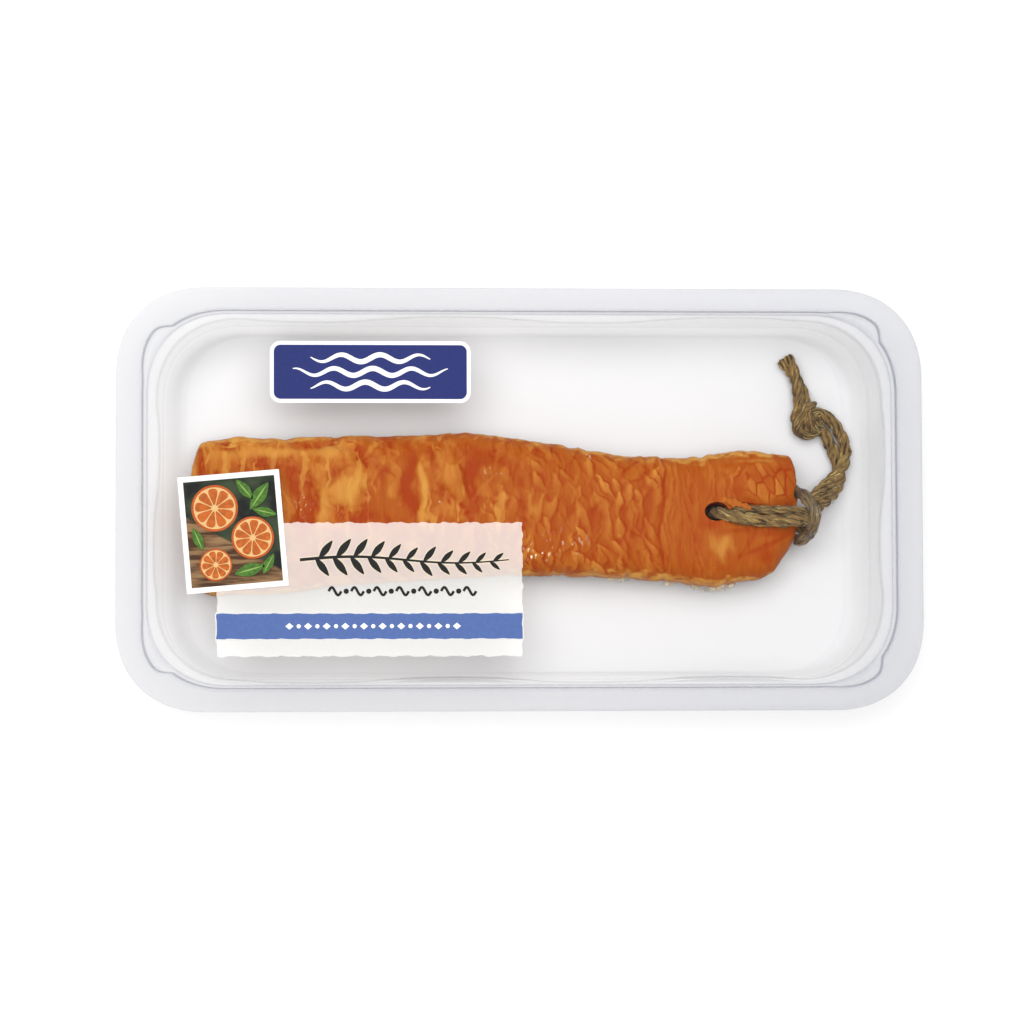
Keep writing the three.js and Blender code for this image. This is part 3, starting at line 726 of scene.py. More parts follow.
class SALMON_OT_tray(bpy.types.Operator):
    """Models the clear formed tray with its flange, corner pockets and bowed ledge"""
    bl_idname = "salmon.tray"
    bl_label = "Tray"

    def execute(self, context):
        rings = np.stack([tray_ring(*ring[:6]) for ring in TRAY_RINGS]) * MM
        bends = np.array([ring[6] for ring in TRAY_RINGS], dtype=float)
        reaches = np.array([ring[0] for ring in TRAY_RINGS], dtype=float)
        x, y = rings[..., 0] / MM, rings[..., 1] / MM
        haze = 0.2 * smooth_step(100, 103, reaches) + 0.85 * smooth_step(104, 108, reaches)
        # Painted shade: the plastic is lighter towards the left, darker towards the right and darker on the floor's
        # lower right, through the field that hazes the flange
        shade = 0.25 * smooth_step(-40, 100, x) - 0.2 * smooth_step(60, 110, -x)
        inside = 1 - smooth_step(96, 98.5, reaches)[:, None]
        right_middle = smooth_step(-40, 20, x) * (1 - smooth_step(40, 85, x))
        shade += 0.35 * inside * smooth_step(0, 40, -y) * right_middle
        fields = {"bend": bends[:, None] * np.ones_like(x), "haze": np.clip(haze[:, None] + shade, 0, 1.3)}
        tray = wrapped_grid("clear_tray", rings, fields)
        complete(tray, tray_finish(), "tray_plastic", "tray", smooth=35)
        return {"FINISHED"}


class SALMON_OT_film(bpy.types.Operator):
    """Models the clear film, sealed to the flange and slightly slack over the mouth"""
    bl_idname = "salmon.film"
    bl_label = "Film lid"

    def execute(self, context):
        shares = np.concatenate([np.linspace(0, 0.86, 30), np.linspace(0.875, 0.999, 9)])
        rings = []
        for share in shares:
            ring = tray_ring(*(size * share for size in FILM_SHAPE), 0, 0, 0)
            slack = 1 - smooth_step(0.80, 0.90, share)
            wave = np.sin(ring[:, 0] / 9 + ring[:, 1] / 17) + np.sin(ring[:, 1] / 8 - ring[:, 0] / 31)
            ring[:, 2] = sizes().film_base / MM + 0.15 + slack * 0.05 * wave
            rings.append(ring)
        film = wrapped_grid("film_lid", np.stack(rings) * MM, closed=False)
        complete(film, film_finish(), "lid_plastic", "lid_film", smooth=30)
        return {"FINISHED"}


# Salmon
def edge_curve(table, x):
    """A table of pairs read at x, rounded a little at its corners."""
    xs, values = np.array(table, dtype=float).T
    spread = np.linspace(-0.45, 0.45, 5)
    return np.mean([np.interp(x + shift, xs, values) for shift in spread], axis=0)


def flake_cells(x, across, pitch_x, pitch_y, seed):
    """For every point, how far it is from its cell's border, and a level from -0.5 to 0.5 for its cell."""
    column = np.floor(x / pitch_x)
    nearest = np.full(x.shape, np.inf)
    second = np.full(x.shape, np.inf)
    owner = np.zeros(x.shape)
    for step in range(-2, 3):
        i = column + step
        shift = np.fmod(i, 2) * 0.5
        row = np.floor(across / pitch_y - shift)
        for side in (-1, 0, 1):
            j = row + side
            number = i * 57 + j * 131 + seed
            dx = x / pitch_x - (i + 0.15 + 0.7 * scatter(number))
            dy = across / pitch_y - shift - (j + 0.1 + 0.8 * scatter(number + 0.5))
            distance = np.hypot(dx, dy)
            closer = distance < nearest
            second = np.where(closer, nearest, np.minimum(second, distance))
            owner = np.where(closer, number, owner)
            nearest = np.where(closer, distance, nearest)
    return second - nearest, scatter(owner + 0.25) - 0.5


def fold_field(x, across, table):
    """Folds and pale patches of a table, above 0 in a fold and below 0 on a pale patch."""
    field = np.zeros(x.shape)
    for at_x, at_y, half_x, half_y, lean, strength in table:
        swayed = x - at_x + 0.9 * np.sin(across / 2.3 + at_x)
        along, cross = turned(swayed, across - at_y, math.radians(lean))
        field += strength * np.exp(-(along / half_x) ** 2 - (cross / half_y) ** 2)
    return np.clip(field, -1, 1)


def value_noise(x, y, seed):
    """Smooth noise from 0 to 1 with one bump to a unit."""
    column, row = np.floor(x), np.floor(y)
    across, along = smooth_step(0, 1, x - column), smooth_step(0, 1, y - row)
    corner = lambda i, j: scatter((column + i) * 57 + (row + j) * 131 + seed * 7.7)
    low = corner(0, 0) * (1 - across) + corner(1, 0) * across
    high = corner(0, 1) * (1 - across) + corner(1, 1) * across
    return low * (1 - along) + high * along


def rough_noise(x, y, seed, layers=3):
    """Noise from about -0.5 to 0.5 with finer bumps on its bumps."""
    total, weight = 0, 0
    for layer in range(layers):
        total = total + value_noise(x * 2 ** layer, y * 2 ** layer, seed + layer) / 2 ** layer
        weight += 1 / 2 ** layer
    return total / weight - 0.5


def blurred(field, reach):
    """The field averaged over a few rows and columns, twice each way."""
    for axis in (0, 1, 0, 1):
        width = 2 * reach[axis] + 1
        padded = np.concatenate([
            np.repeat(np.take(field, [0], axis=axis), reach[axis], axis=axis), field,
            np.repeat(np.take(field, [-1], axis=axis), reach[axis], axis=axis),
        ], axis=axis)
        total = np.cumsum(padded, axis=axis)
        zero = np.zeros_like(np.take(total, [0], axis=axis))
        total = np.concatenate([zero, total], axis=axis)
        count = field.shape[axis]
        field = (np.take(total, range(width, width + count), axis=axis)
                 - np.take(total, range(count), axis=axis)) / width
    return field


def flake_rows(first, last, pitch, jitter, seed):
    """Flakes on a loose grid: their places and four draws from 0 to 1 for each."""
    columns, rows = np.meshgrid(np.arange(first, last), np.arange(-6, 6), indexing="ij")
    number = columns * 57.0 + rows * 131.0 + seed
    draws = [scatter(number + shift) for shift in (0.1, 0.2, 0.3, 0.4, 0.5, 0.6)]
    x = pitch[0] * columns + jitter[0] * (draws[0] - 0.5) + 1.0
    y = pitch[1] * (rows + 0.5 * (columns % 2)) + jitter[1] * (draws[1] - 0.5)
    return [x, y, *draws[2:]]


def shuffled(columns):
    """The flakes' columns as rows, in an order that lays them over each other at random."""
    rows = np.stack(columns, axis=-1).reshape(-1, 6)
    rows = rows[np.argsort(scatter(np.arange(len(rows)) + 0.77))]
    return [row for row in rows if row[5] > 0.05]


def flake_table():
    """Every pale flake: broad patches at the left, then close flakes, which are long and narrow past the crease."""
    x, y, long, wide, leant, strong = flake_rows(-16, 0, (6.0, 7.5), (5.0, 6.0), 5)
    strength = (0.1 + 0.7 * strong ** 1.5) * (1 - smooth_step(-14, -2, x))
    patches = shuffled([x, y, 3.6 + 5.2 * long, 1.8 + 3.0 * wide, 56 * (leant - 0.5), strength])
    x, y, long, wide, leant, strong = flake_rows(-6, 34, (2.45, 5.6), (2.2, 4.6), 0)
    past = smooth_step(CREASE_X - 2, CREASE_X + 3, x)
    strength = (0.12 + 0.7 * strong ** 1.3) * smooth_step(-16, -6, x) * (1 - 0.65 * past)
    strength *= 1 - smooth_step(60, 64, x) * smooth_step(-1, 1, y)
    strength *= 1 - 0.7 * smooth_step(54, 60, x) * (1 - smooth_step(-9, -6, y))
    wide *= 0.75 + 0.9 * (scatter(x * 3.1) > 0.7)
    close = shuffled([
        x, y, (3.4 + 3.4 * long) * (1 + 0.4 * past), (1.05 + 0.9 * wide) * (1 - 0.45 * past),
        80 * (leant - 0.55) * (1 - 0.7 * past), strength,
    ])
    return patches + close + list(CHUNKS)


def laid_flakes(x, across):
    """Flakes laid over each other: how pale each point is, how near an edge that the finish paints dark as shade, and
    its height from 0 to 1.
    """
    pale, edge, height = np.zeros(x.shape), np.zeros(x.shape), np.zeros(x.shape)
    for at_x, at_y, half_length, half_width, lean, strength in flake_table():
        near = (np.abs(x - at_x) < half_length + 1) & (np.abs(across - at_y) < half_length + 1)
        if not near.any():
            continue
        cross, along = turned(x[near] - at_x, across[near] - at_y, math.radians(lean))
        along, cross = along / half_length, cross / half_width
        ends = smooth_step(0, 0.3, 1 - np.abs(along))
        aside = cross / np.clip(1 - np.abs(along) ** 1.5, 0.04, 1)
        body = ends * (1 - smooth_step(0.75, 1.05, aside)) * smooth_step(-1.1, -0.1, aside)
        rim = ends * np.exp(-((aside - 1.2) / 0.22) ** 2)
        rim = np.maximum(rim, 0.4 * ends * np.exp(-((aside + 1.15) / 0.3) ** 2))
        tint = strength * (0.6 + 0.4 * np.clip(along, -1, 1))
        cover = body * (0.3 + 0.7 * strength)
        pale[near] = pale[near] * (1 - np.maximum(0.9 * cover, 0.8 * rim)) + tint * body
        edge[near] = np.maximum(edge[near] * (1 - cover), (0.4 + 0.6 * strength) * rim)
        height[near] = height[near] * (1 - cover) + cover * (0.6 + 0.4 * np.clip(cross, -1, 1))
    return np.clip(pale, 0, 1), edge, height


def fat_reach(table, x):
    """How far yellow fat reaches in from an edge, from 0 to 1."""
    return np.clip(sum(reach * np.exp(-((x - middle) / half) ** 4) for middle, half, reach in table), 0, 1)


def spots(x, across, table):
    """The sum of soft round spots, each with its place, half length, half width and strength."""
    field = np.zeros(x.shape)
    for at_x, at_y, half_x, half_y, strength in table:
        field += strength * np.exp(-((x - at_x) / half_x) ** 2 - ((across - at_y) / half_y) ** 2)
    return np.clip(field, -1, 1)


def broken_wedges(x, across):
    """Where the flesh is broken into wedges, how near a crack each point is, and the level of its wedge."""
    at_x, at_y, half_x, half_y, pitch_x, pitch_y, lean = WEDGES
    wave = 1.5 * rough_noise(x / 3.4, across / 3.4, 103)
    dx, dy = x - at_x + wave, across - at_y - wave
    along, cross = turned(dx, dy, math.radians(lean))
    border, level = flake_cells(along + 100, cross, pitch_x, pitch_y, 13)
    reach = (np.abs(dx) / half_x) ** 3 + (np.abs(dy) / half_y) ** 3
    return 1 - smooth_step(0.3, 1.2, reach + 0.3 * wave), 0.7 * (1 - smooth_step(0.0, 0.2, border)), level


def fish_relief(x, across):
    """Height of the relief in millimetres, with the fields that the finish needs of it."""
    fold_depth, flake_depth = food().fold_depth / MM, food().flake_depth / MM
    flaky = smooth_step(-12, 8, x + 5 * rough_noise(x / 9, across / 9, 71))
    calm = 1 - 0.6 * smooth_step(50, 57, x)
    wave_x = x + 1.3 * rough_noise(x / 3.1, across / 5.3, 11)
    wave_y = across + 3.0 * rough_noise(x / 5.1, across / 8.3, 23)
    broad, broad_level = flake_cells(x + across * 0.25, across, 15, 21, 3)
    broad_rise = smooth_step(0, 0.5, broad)
    ribs = rough_noise(wave_x / 1.1, wave_y / 11, 37, 2)
    streak = np.abs(rough_noise(wave_x / 3.4, wave_y / 15, 53)) * 2
    streak_rise = smooth_step(0, 0.22, streak)
    lumps = rough_noise(wave_x / 5.5, wave_y / 7, 61)
    folds = fold_depth * (broad_rise - 1) + 1.1 * broad_level * broad_rise
    push = 1.9 + 1.1 * (1 - flaky)
    pushed_x = x + push * rough_noise(x / 2.3, across / 3.0, 91)
    pushed_across = across + push * rough_noise(x / 2.6, across / 2.6, 95)
    pale, edge, height = laid_flakes(pushed_x, pushed_across)
    broken, crack, level = broken_wedges(x, across)
    pale = pale * (1 - broken) + broken * (1 - crack) * np.clip(0.2 + 0.7 * level, 0, 1)
    edge = edge * (1 - broken) + broken * crack
    height = height * (1 - broken) + broken * (1 - crack)
    folds += 0.18 * (streak_rise - 1) + 0.4 * lumps + 0.08 * ribs + 0.2 * height - 0.1 * edge
    wide_ribs = rough_noise(wave_x / 3.0, wave_y / 17, 47, 2)
    flakes = flake_depth * (0.42 * height - 0.22 * edge) + 0.3 * lumps + calm * (0.1 * ribs + 0.2 * wide_ribs)
    bend = 0.7 * np.sin(across / 6) + 1.6 * rough_noise(across / 5, 0 * x, 19)
    crease = np.exp(-((x - CREASE_X - bend) / 0.4) ** 2) * (0.3 + 0.6 * value_noise(across / 4, 0 * x, 29))
    trough = np.exp(-((across + 4.4) / 3.6) ** 2) * smooth_step(57, 63, x)
    named, fan = fold_field(x, across, FOLDS), fold_field(x, across, FAN)
    tints = np.clip(spots(x, across, TINTS) + fan, -1, 1)
    relief = flaky * flakes + (1 - flaky) * folds - food().crease_depth / MM * crease
    relief -= 0.5 * named * (1 - 0.7 * flaky) + 0.25 * np.clip(tints, 0, 1)
    # The cavity field: relief against its blur, from which the finish paints shade in the hollows and highlights on
    # the ridges
    sharp = (relief - blurred(relief, (5, 5))) / 0.34
    wide = (relief - blurred(relief, (14, 14))) / 0.9
    rise = np.clip(0.5 + 0.5 * sharp + 0.35 * wide, 0, 1)
    tone = flaky * (1.1 * lumps + 1.2 * calm * ribs) + (1 - flaky) * (0.7 * broad_level + 0.8 * lumps)
    # Deep colour painted as shade into the named folds, the crease, the fanned folds and the trough under the twine,
    # plus the tinted spots, which are the flesh's own colour
    depth = np.clip(named * (1 - 0.7 * flaky) + 0.9 * crease + 0.3 * trough + tints, -1, 1)
    return relief - 1.6 * trough, {
        "rise": rise, "tone": tone, "depth": depth, "flaky": flaky, "flake": pale,
        "edge": (0.65 + 0.35 * flaky) * edge, "glint": spots(x, across, PAINTED_GLINTS),
    }


def fish_surface():
    """Points on the strip in millimetres and the fields for its finish, ring after ring along x."""
    body = np.arange(FISH_START, FISH_END, FISH_STEP)
    x = np.append(body, FISH_END)[:, None]
    top_angle = np.arange(FISH_TOP_COLUMNS) / FISH_TOP_COLUMNS * math.pi
    base_angle = np.arange(FISH_BASE_COLUMNS) / FISH_BASE_COLUMNS * math.pi
    side = np.concatenate([np.cos(top_angle), -np.cos(base_angle)])[None, :]
    is_top = np.arange(side.shape[1])[None, :] < FISH_TOP_COLUMNS
    power = np.where(is_top, 3.6, 5.0)
    near = 1 - np.clip(np.minimum(x - FISH_START, FISH_END - x) / END_ROUNDING, 0, 1)
    scale = 1 - END_INSET * near ** 2.6
    rough = 0.5 + 0.5 * smooth_step(-10, 5, x)
    back = edge_curve(BACK_EDGE, x) + rough * rough_noise(x / 2.2, 0 * x, 3)
    front = edge_curve(FRONT_EDGE, x) + 1.1 * rough * rough_noise(x / 2.6, 0 * x, 5)
    middle, half_width = (back + front) / 2, (back - front) / 2 * scale
    half_height = np.where(is_top, edge_curve(CROWN, x) - FISH_WAIST, FISH_BASE - FISH_WAIST) * scale
    rise = np.clip(1 - np.abs(side) ** power, 0, 1) ** (1 / power)
    across = middle + half_width * side + np.sign(side) * 0.8 * np.abs(half_height) * (1 - rise)
    grid_x = np.broadcast_to(x, across.shape)
    relief, fields = fish_relief(grid_x, across)
    shown = is_top | (np.arange(side.shape[1])[None, :] >= FISH_TOP_COLUMNS + FISH_BASE_COLUMNS - 1)
    edge = np.abs(side) ** 6
    out = relief * (1 - 0.6 * (1 - scale) / END_INSET) * np.where(shown, 1.0, 0.25 * edge)
    out *= 1 - 0.6 * (1 - fields["flaky"]) * np.abs(side) ** 10
    lean, lift = np.abs(side) ** (power - 1), rise ** (power - 1)
    length = np.hypot(lean, lift)
    points = np.stack([
        grid_x,
        middle + half_width * side + out * np.sign(side) * lean / length,
        FISH_WAIST + half_height * rise + np.sign(half_height) * out * lift / length,
    ], axis=2)
    fat = np.where(side > 0, fat_reach(BACK_FAT, x), fat_reach(FRONT_FAT, x))
    ragged = np.abs(side) + (0.12 + 0.16 * fat) * rough_noise(grid_x / 2.4, across / 2, 83)
    rim = smooth_step(0.955 - 0.11 * fat, 0.995 - 0.02 * fat, ragged)
    rim = rim * (0.75 + 0.25 * fat + 0.6 * rough_noise(grid_x / 9, across / 9, 97))
    return points, {**fields, "rim": rim * (0.3 + 0.7 * smooth_step(0.15, 0.6, rise))}


def with_ends(points, fields):
    """Adds the two cut ends to the strip as rings that close in on the middle."""
    share = np.linspace(0.03, 0.98, FISH_CAP_ROWS)[:, None, None]
    capped = {}
    ends = []
    for ring, way in ((points[0], -1), (points[-1], 1)):
        centre = ring.mean(axis=0)
        end = centre + (ring - centre) * share
        craggy = np.sin(end[..., 1] * 0.9 + 2) * np.sin(end[..., 2] * 0.7) + 0.6 * np.sin(end[..., 1] * 2.3)
        end[..., 0] += way * (0.6 * (1 - share[..., 0] ** 2) + 0.35 * craggy * (1 - share[..., 0] ** 6))
        ends.append(end)
    surface = np.concatenate([ends[0], points, ends[1][::-1]])
    for name, values in fields.items():
        pad = np.ones((FISH_CAP_ROWS, values.shape[1]))
        capped[name] = np.concatenate([values[:1] * pad, values, values[-1:] * pad])
    return surface, capped


def cut(piece, cutter):
    """Takes the cutter's shape out of the piece, and the cutter away."""
    apply_modifier(piece, "BOOLEAN", operation="DIFFERENCE", object=cutter, solver="MANIFOLD")
    bpy.data.objects.remove(cutter)


class SALMON_OT_salmon(bpy.types.Operator):
    """Models the strip of salmon with its flakes, folds, crease, hole and the channels of the twine"""
    bl_idname = "salmon.strip"
    bl_label = "Salmon"

    def execute(self, context):
        points, fields = with_ends(*fish_surface())
        salmon = wrapped_grid("salmon_strip", points * MM, fields)
        at_x, at_y, length, width = (value * MM for value in HOLE)
        deselect()
        bpy.ops.mesh.primitive_cone_add(
            vertices=48, radius1=HOLE_FOOT, radius2=HOLE_MOUTH, depth=HOLE_DEPTH * MM,
            location=(at_x, at_y, HOLE_MIDDLE * MM),
        )
        hole = bpy.context.object
        hole.scale = (length, width, 1)
        settle(hole)
        cut(salmon, hole)
        for path, extra in ((FRONT_STRAND_PATH, 0.0), (BACK_STRAND_PATH, 0.0), (HITCH_PATH, 0.6)):
            radius = (STRAND + extra) / 2 + CLEARANCE
            centre = smooth_path(path, 80)
            cut(salmon, wrapped_grid("channel", tube_rings(centre, np.full(80, radius), 20) * MM))
        complete(salmon, flesh_finish(), "salmon_flesh", "salmon", smooth=60)
        return {"FINISHED"}


class SALMON_OT_shreds(bpy.types.Operator):
    """Models the shreds of fat along the front edge and the flap of flesh over the twine"""
    bl_idname = "salmon.shreds"
    bl_label = "Fat shreds"

    SHREDS = (
        (27.8, -21.6, 2.6, 1.3, 12), (31, -21.9, 3.4, 1.5, -6), (44.4, -23.3, 2.8, 1.2, 10),
        (52, -24.2, 3, 1.3, -8), (56.4, -24.8, 4.2, 1.7, 4), (60, -24.4, 3.6, 2, 14), (62.8, -23.4, 2.8, 1.6, 30),
    )
    FLAP = (
        (57, 0.5, 19.2), (58.6, 0.3, 20), (60.3, -0.3, 20.7), (62.5, -1, 21.2), (64.8, -1.7, 21.3),
        (66.6, -2.9, 21.3),
    )

    def execute(self, context):
        shreds = [self.shred(*shred, seed=index) for index, shred in enumerate(self.SHREDS)]
        fat = joined(shreds, "fat_shreds")
        complete(fat, fat_finish(), "salmon_flesh")
        flap = self.flap()
        complete(flap, bpy.data.materials["smoked_flesh"], "salmon_flesh", smooth=60)
        return {"FINISHED"}

    def shred(self, x, y, length, width, turn, seed):
        """A thin ragged flake of fat: a circle primitive with an uneven edge, made solid."""
        deselect()
        bpy.ops.mesh.primitive_circle_add(vertices=36, radius=0.5, fill_type="TRIFAN")
        piece = bpy.context.object
        points = points_of(piece)
        angle = np.arctan2(points[:, 1], points[:, 0])
        ragged = 1 + 0.16 * np.sin(3 * angle + seed) + 0.12 * np.sin(7 * angle + 2 * seed) + 0.07 * np.sin(13 * angle)
        u, v = points[:, 0] * length * ragged, points[:, 1] * width * ragged
        along, cross = turned(u, v, math.radians(turn))
        move_points(piece, np.stack([x + along, y + cross, 2.4 + 0.3 * np.sin(2 * u + seed)], axis=1))
        apply_modifier(piece, "SOLIDIFY", thickness=0.25 * MM, offset=0)
        return piece

    def flap(self):
        """A ragged tongue of flesh that hangs over the back strand."""
        path = smooth_path(self.FLAP, 60)
        s = np.linspace(0, 1, 60)
        radius = 0.68 * np.sin(np.clip(s * 1.02 + 0.02, 0, 1) * math.pi) ** 0.6 * (1 - 0.3 * s) + 0.08
        radius *= 1 + 0.3 * np.sin(s * 17) + 0.2 * np.sin(s * 41 + 1)
        rings = tube_rings(path, radius, 16, flat=1.5)
        rings[..., 2] = path[:, None, 2] + 0.45 * (rings[..., 2] - path[:, None, 2])
        flap = wrapped_grid("flesh_flap", rings * MM)
        for name, value in (("rise", 0.45), ("flaky", 1.0), ("flake", 0.25), ("rim", 0.12)):
            field = flap.data.attributes.new(name, "FLOAT", "POINT")
            field.data.foreach_set("value", np.full(len(flap.data.vertices), value))
        return flap


# Twine
def smooth_path(points, count):
    """A centripetal Catmull-Rom curve through the points, at even steps along its length."""
    p = np.array(points, dtype=float)
    p = np.vstack([2 * p[0] - p[1], p, 2 * p[-1] - p[-2]])
    knots = np.concatenate([[0], np.cumsum(np.sqrt(np.linalg.norm(np.diff(p, axis=0), axis=1)))])
    dense = []
    for i in range(1, len(p) - 2):
        t = np.linspace(knots[i], knots[i + 1], 40, endpoint=False)[:, None]
        blend = lambda a, b, ta, tb: ((tb - t) * a + (t - ta) * b) / (tb - ta)
        k = knots
        first = blend(p[i - 1], p[i], k[i - 1], k[i])
        second = blend(p[i], p[i + 1], k[i], k[i + 1])
        third = blend(p[i + 1], p[i + 2], k[i + 1], k[i + 2])
        low = blend(first, second, k[i - 1], k[i + 1])
        high = blend(second, third, k[i], k[i + 2])
        dense.append(blend(low, high, k[i], k[i + 1]))
    dense = np.vstack(dense + [p[-2][None]])
    return even_steps(dense, count)


def even_steps(path, count):
    """The path again, as a number of points at even steps."""
    run = np.concatenate([[0], np.cumsum(np.linalg.norm(np.diff(path, axis=0), axis=1))])
    at = np.linspace(0, run[-1], count)
    return np.stack([np.interp(at, run, path[:, axis]) for axis in range(3)], axis=1)


def path_length(path):
    return float(np.linalg.norm(np.diff(path, axis=0), axis=1).sum())


def path_frames(path):
    """For each point of a path, two directions square to it that turn as little as they can."""
    tangent = np.gradient(path, axis=0)
    tangent /= np.linalg.norm(tangent, axis=1)[:, None]
    up = np.array([0.0, 0.0, 1.0]) if abs(tangent[0][2]) < 0.9 else np.array([1.0, 0.0, 0.0])
    normal = np.zeros_like(path)
    for i, direction in enumerate(tangent):
        up = up - direction * np.dot(up, direction)
        up /= np.linalg.norm(up)
        normal[i] = up
    return normal, np.cross(tangent, normal)


def wound(path, radius, turns, phase, flat=1.0):
    """A path that winds round another one, as a yarn does in a strand."""
    normal, side = path_frames(path)
    angle = phase + 2 * math.pi * turns * np.linspace(0, 1, len(path))
    return path + radius * (np.cos(angle)[:, None] * normal + flat * np.sin(angle)[:, None] * side)


def tube_rings(path, radius, sides, flat=1.0):
    """Rings round a path, with a radius for each of its points."""
    normal, side = path_frames(path)
    angle = np.arange(sides) / sides * 2 * math.pi
    ring = np.cos(angle)[None, :, None] * normal[:, None] + flat * np.sin(angle)[None, :, None] * side[:, None]
    return path[:, None] + radius[:, None, None] * ring


def yarn(path, radius, seed):
    """One yarn: a tube of uneven thickness with ridges of fibres, which thins at both ends."""
    s = np.linspace(0, 1, len(path))
    length = path_length(path)
    run = s * length
    uneven = 1 + 0.08 * np.sin(run * 1.1 + seed) + 0.06 * np.sin(run * 2.7 + 2 * seed)
    taper = np.minimum(1, 0.55 + np.minimum(s, 1 - s) * length / 0.9)
    rings = tube_rings(path, radius * uneven * taper, YARN_SIDES)
    angle = (np.arange(YARN_SIDES) / YARN_SIDES * 2 * math.pi)[None, :] + 0.35 * run[:, None]
    ridge = 0.09 * np.sin(5 * angle + 0.7 * seed) + 0.07 * np.sin(8 * angle - 1.3 * seed)
    ridge += 0.12 * rough_noise(np.cos(angle) * 2 + seed, np.sin(angle) * 2 + run[:, None] * 1.4, 7)
    rings += (rings - path[:, None]) * ridge[..., None]
    return wrapped_grid("yarn", rings * MM, length=length / 10)


def strand(path, thickness, turns, phase, seed):
    """A strand of three yarns laid round each other."""
    yarn_radius = thickness * 0.27
    lay = thickness / 2 - yarn_radius
    return [
        yarn(wound(path, lay, turns, phase + k * 2 * math.pi / YARNS), yarn_radius, seed + k)
        for k in range(YARNS)
    ]


def stray_fibres(path, radius, count, seed, reach=1.0):
    """Single hairs that leave the twine's surface and bend away."""
    hairs = []
    normal, side = path_frames(path)
    for k in range(count):
        draw = scatter(np.arange(6) + 10.0 * (k + seed * 31))
        start = int(draw[0] * (len(path) - 14)) + 2
        angle = draw[1] * 2 * math.pi
        s = np.linspace(0, 1, 7)
        steps = start + np.round(s * (6 + 5 * draw[2])).astype(int)
        steps = np.minimum(steps, len(path) - 1)
        turn = angle + (draw[3] - 0.5) * 1.6 * s
        lift = radius * 0.96 + reach * (0.15 + 1.1 * draw[4] ** 3) * s ** 1.6
        way = np.cos(turn)[:, None] * normal[steps] + np.sin(turn)[:, None] * side[steps]
        hair = path[steps] + lift[:, None] * way
        hair[:, 2] = np.maximum(hair[:, 2], 1.0)
        hair = even_steps(hair, 7)
        thin = 0.06 * (1 - 0.7 * s)
        hairs.append(wrapped_grid("hair", tube_rings(hair, thin, 4) * MM, length=0.5))
    return hairs


class SALMON_OT_loop(bpy.types.Operator):
    """Models the loop of twine through the salmon and the hitch round its end"""
    bl_idname = "salmon.loop"
    bl_label = "Twine loop"

    def execute(self, context):
        thickness = food().strand / MM
        front = smooth_path(FRONT_STRAND_PATH, 260)
        back = smooth_path(BACK_STRAND_PATH, 120)
        hitch = smooth_path(HITCH_PATH, 130)
        pieces = strand(front, thickness + 0.5, turns=5.0, phase=0.4, seed=3)
        pieces += strand(back, thickness - 0.7, turns=2.2, phase=1.4, seed=11)
        pieces += stray_fibres(front[:150], thickness / 2 + 0.2, count=40, seed=5, reach=0.7)
        pieces += stray_fibres(back, thickness / 2 - 0.3, count=20, seed=7, reach=0.6)
        loop = joined(pieces, "twine_strands")
        complete(loop, jute_finish("jute_dry", 0), "jute", "twine_loop", smooth=60)
        wrap = joined(strand(hitch, thickness + 0.5, turns=1.3, phase=0.9, seed=21), "twine_hitch")
        complete(wrap, jute_finish("jute_wet", 1), "jute", smooth=60)
        return {"FINISHED"}


class SALMON_OT_tail(bpy.types.Operator):
    """Models the doubled tail of twine, its knot and its cut end"""
    bl_idname = "salmon.tail"
    bl_label = "Twine tail"

    def execute(self, context):
        centre = smooth_path(TAIL_PATH, 200)
        outer, inner = smooth_path(OUTER_TAIL_PATH, 210), smooth_path(INNER_TAIL_PATH, 190)
        single = food().strand / MM + 0.45
        pieces = strand(outer, single, turns=3.2, phase=0.4, seed=31)
        pieces += strand(inner, single, turns=2.8, phase=1.3, seed=38)
        pieces += stray_fibres(outer, single / 2, count=46, seed=9, reach=0.8)
        pieces += stray_fibres(inner, single / 2, count=30, seed=10, reach=0.7)
        tail = joined(pieces, "twine_tail_rope")
        complete(tail, bpy.data.materials["jute_dry"], "jute", "twine_tail", smooth=60)
        knot = self.knot()
        complete(knot, bpy.data.materials["jute_dry"], "jute", "twine_knot", smooth=60)
        route = even_steps(centre, 30) * MM
        return {"FINISHED"}

    def knot(self):
        pieces = []
        for index, (path, thickness) in enumerate(KNOT_TURNS):
            way = smooth_path(path, 80)
            turns = 0.09 * path_length(way)
            pieces += strand(way, thickness, turns, phase=0.7 * index, seed=51 + 6 * index)
            pieces += stray_fibres(way, thickness / 2, count=12, seed=17 + index, reach=0.7)
        tip = smooth_path(TIP_PATH, 110)
        thickness = food().tip / MM
        for k in range(2):
            way = wound(tip, thickness * 0.2, turns=0.55, phase=0.9 + k * math.pi, flat=1.2)
            pieces += strand(way, thickness * 0.68, turns=1.5, phase=k * 0.8, seed=71 + 5 * k)
        pieces += stray_fibres(tip, thickness / 2, count=34, seed=13)
        return joined(pieces, "twine_knot_rope")


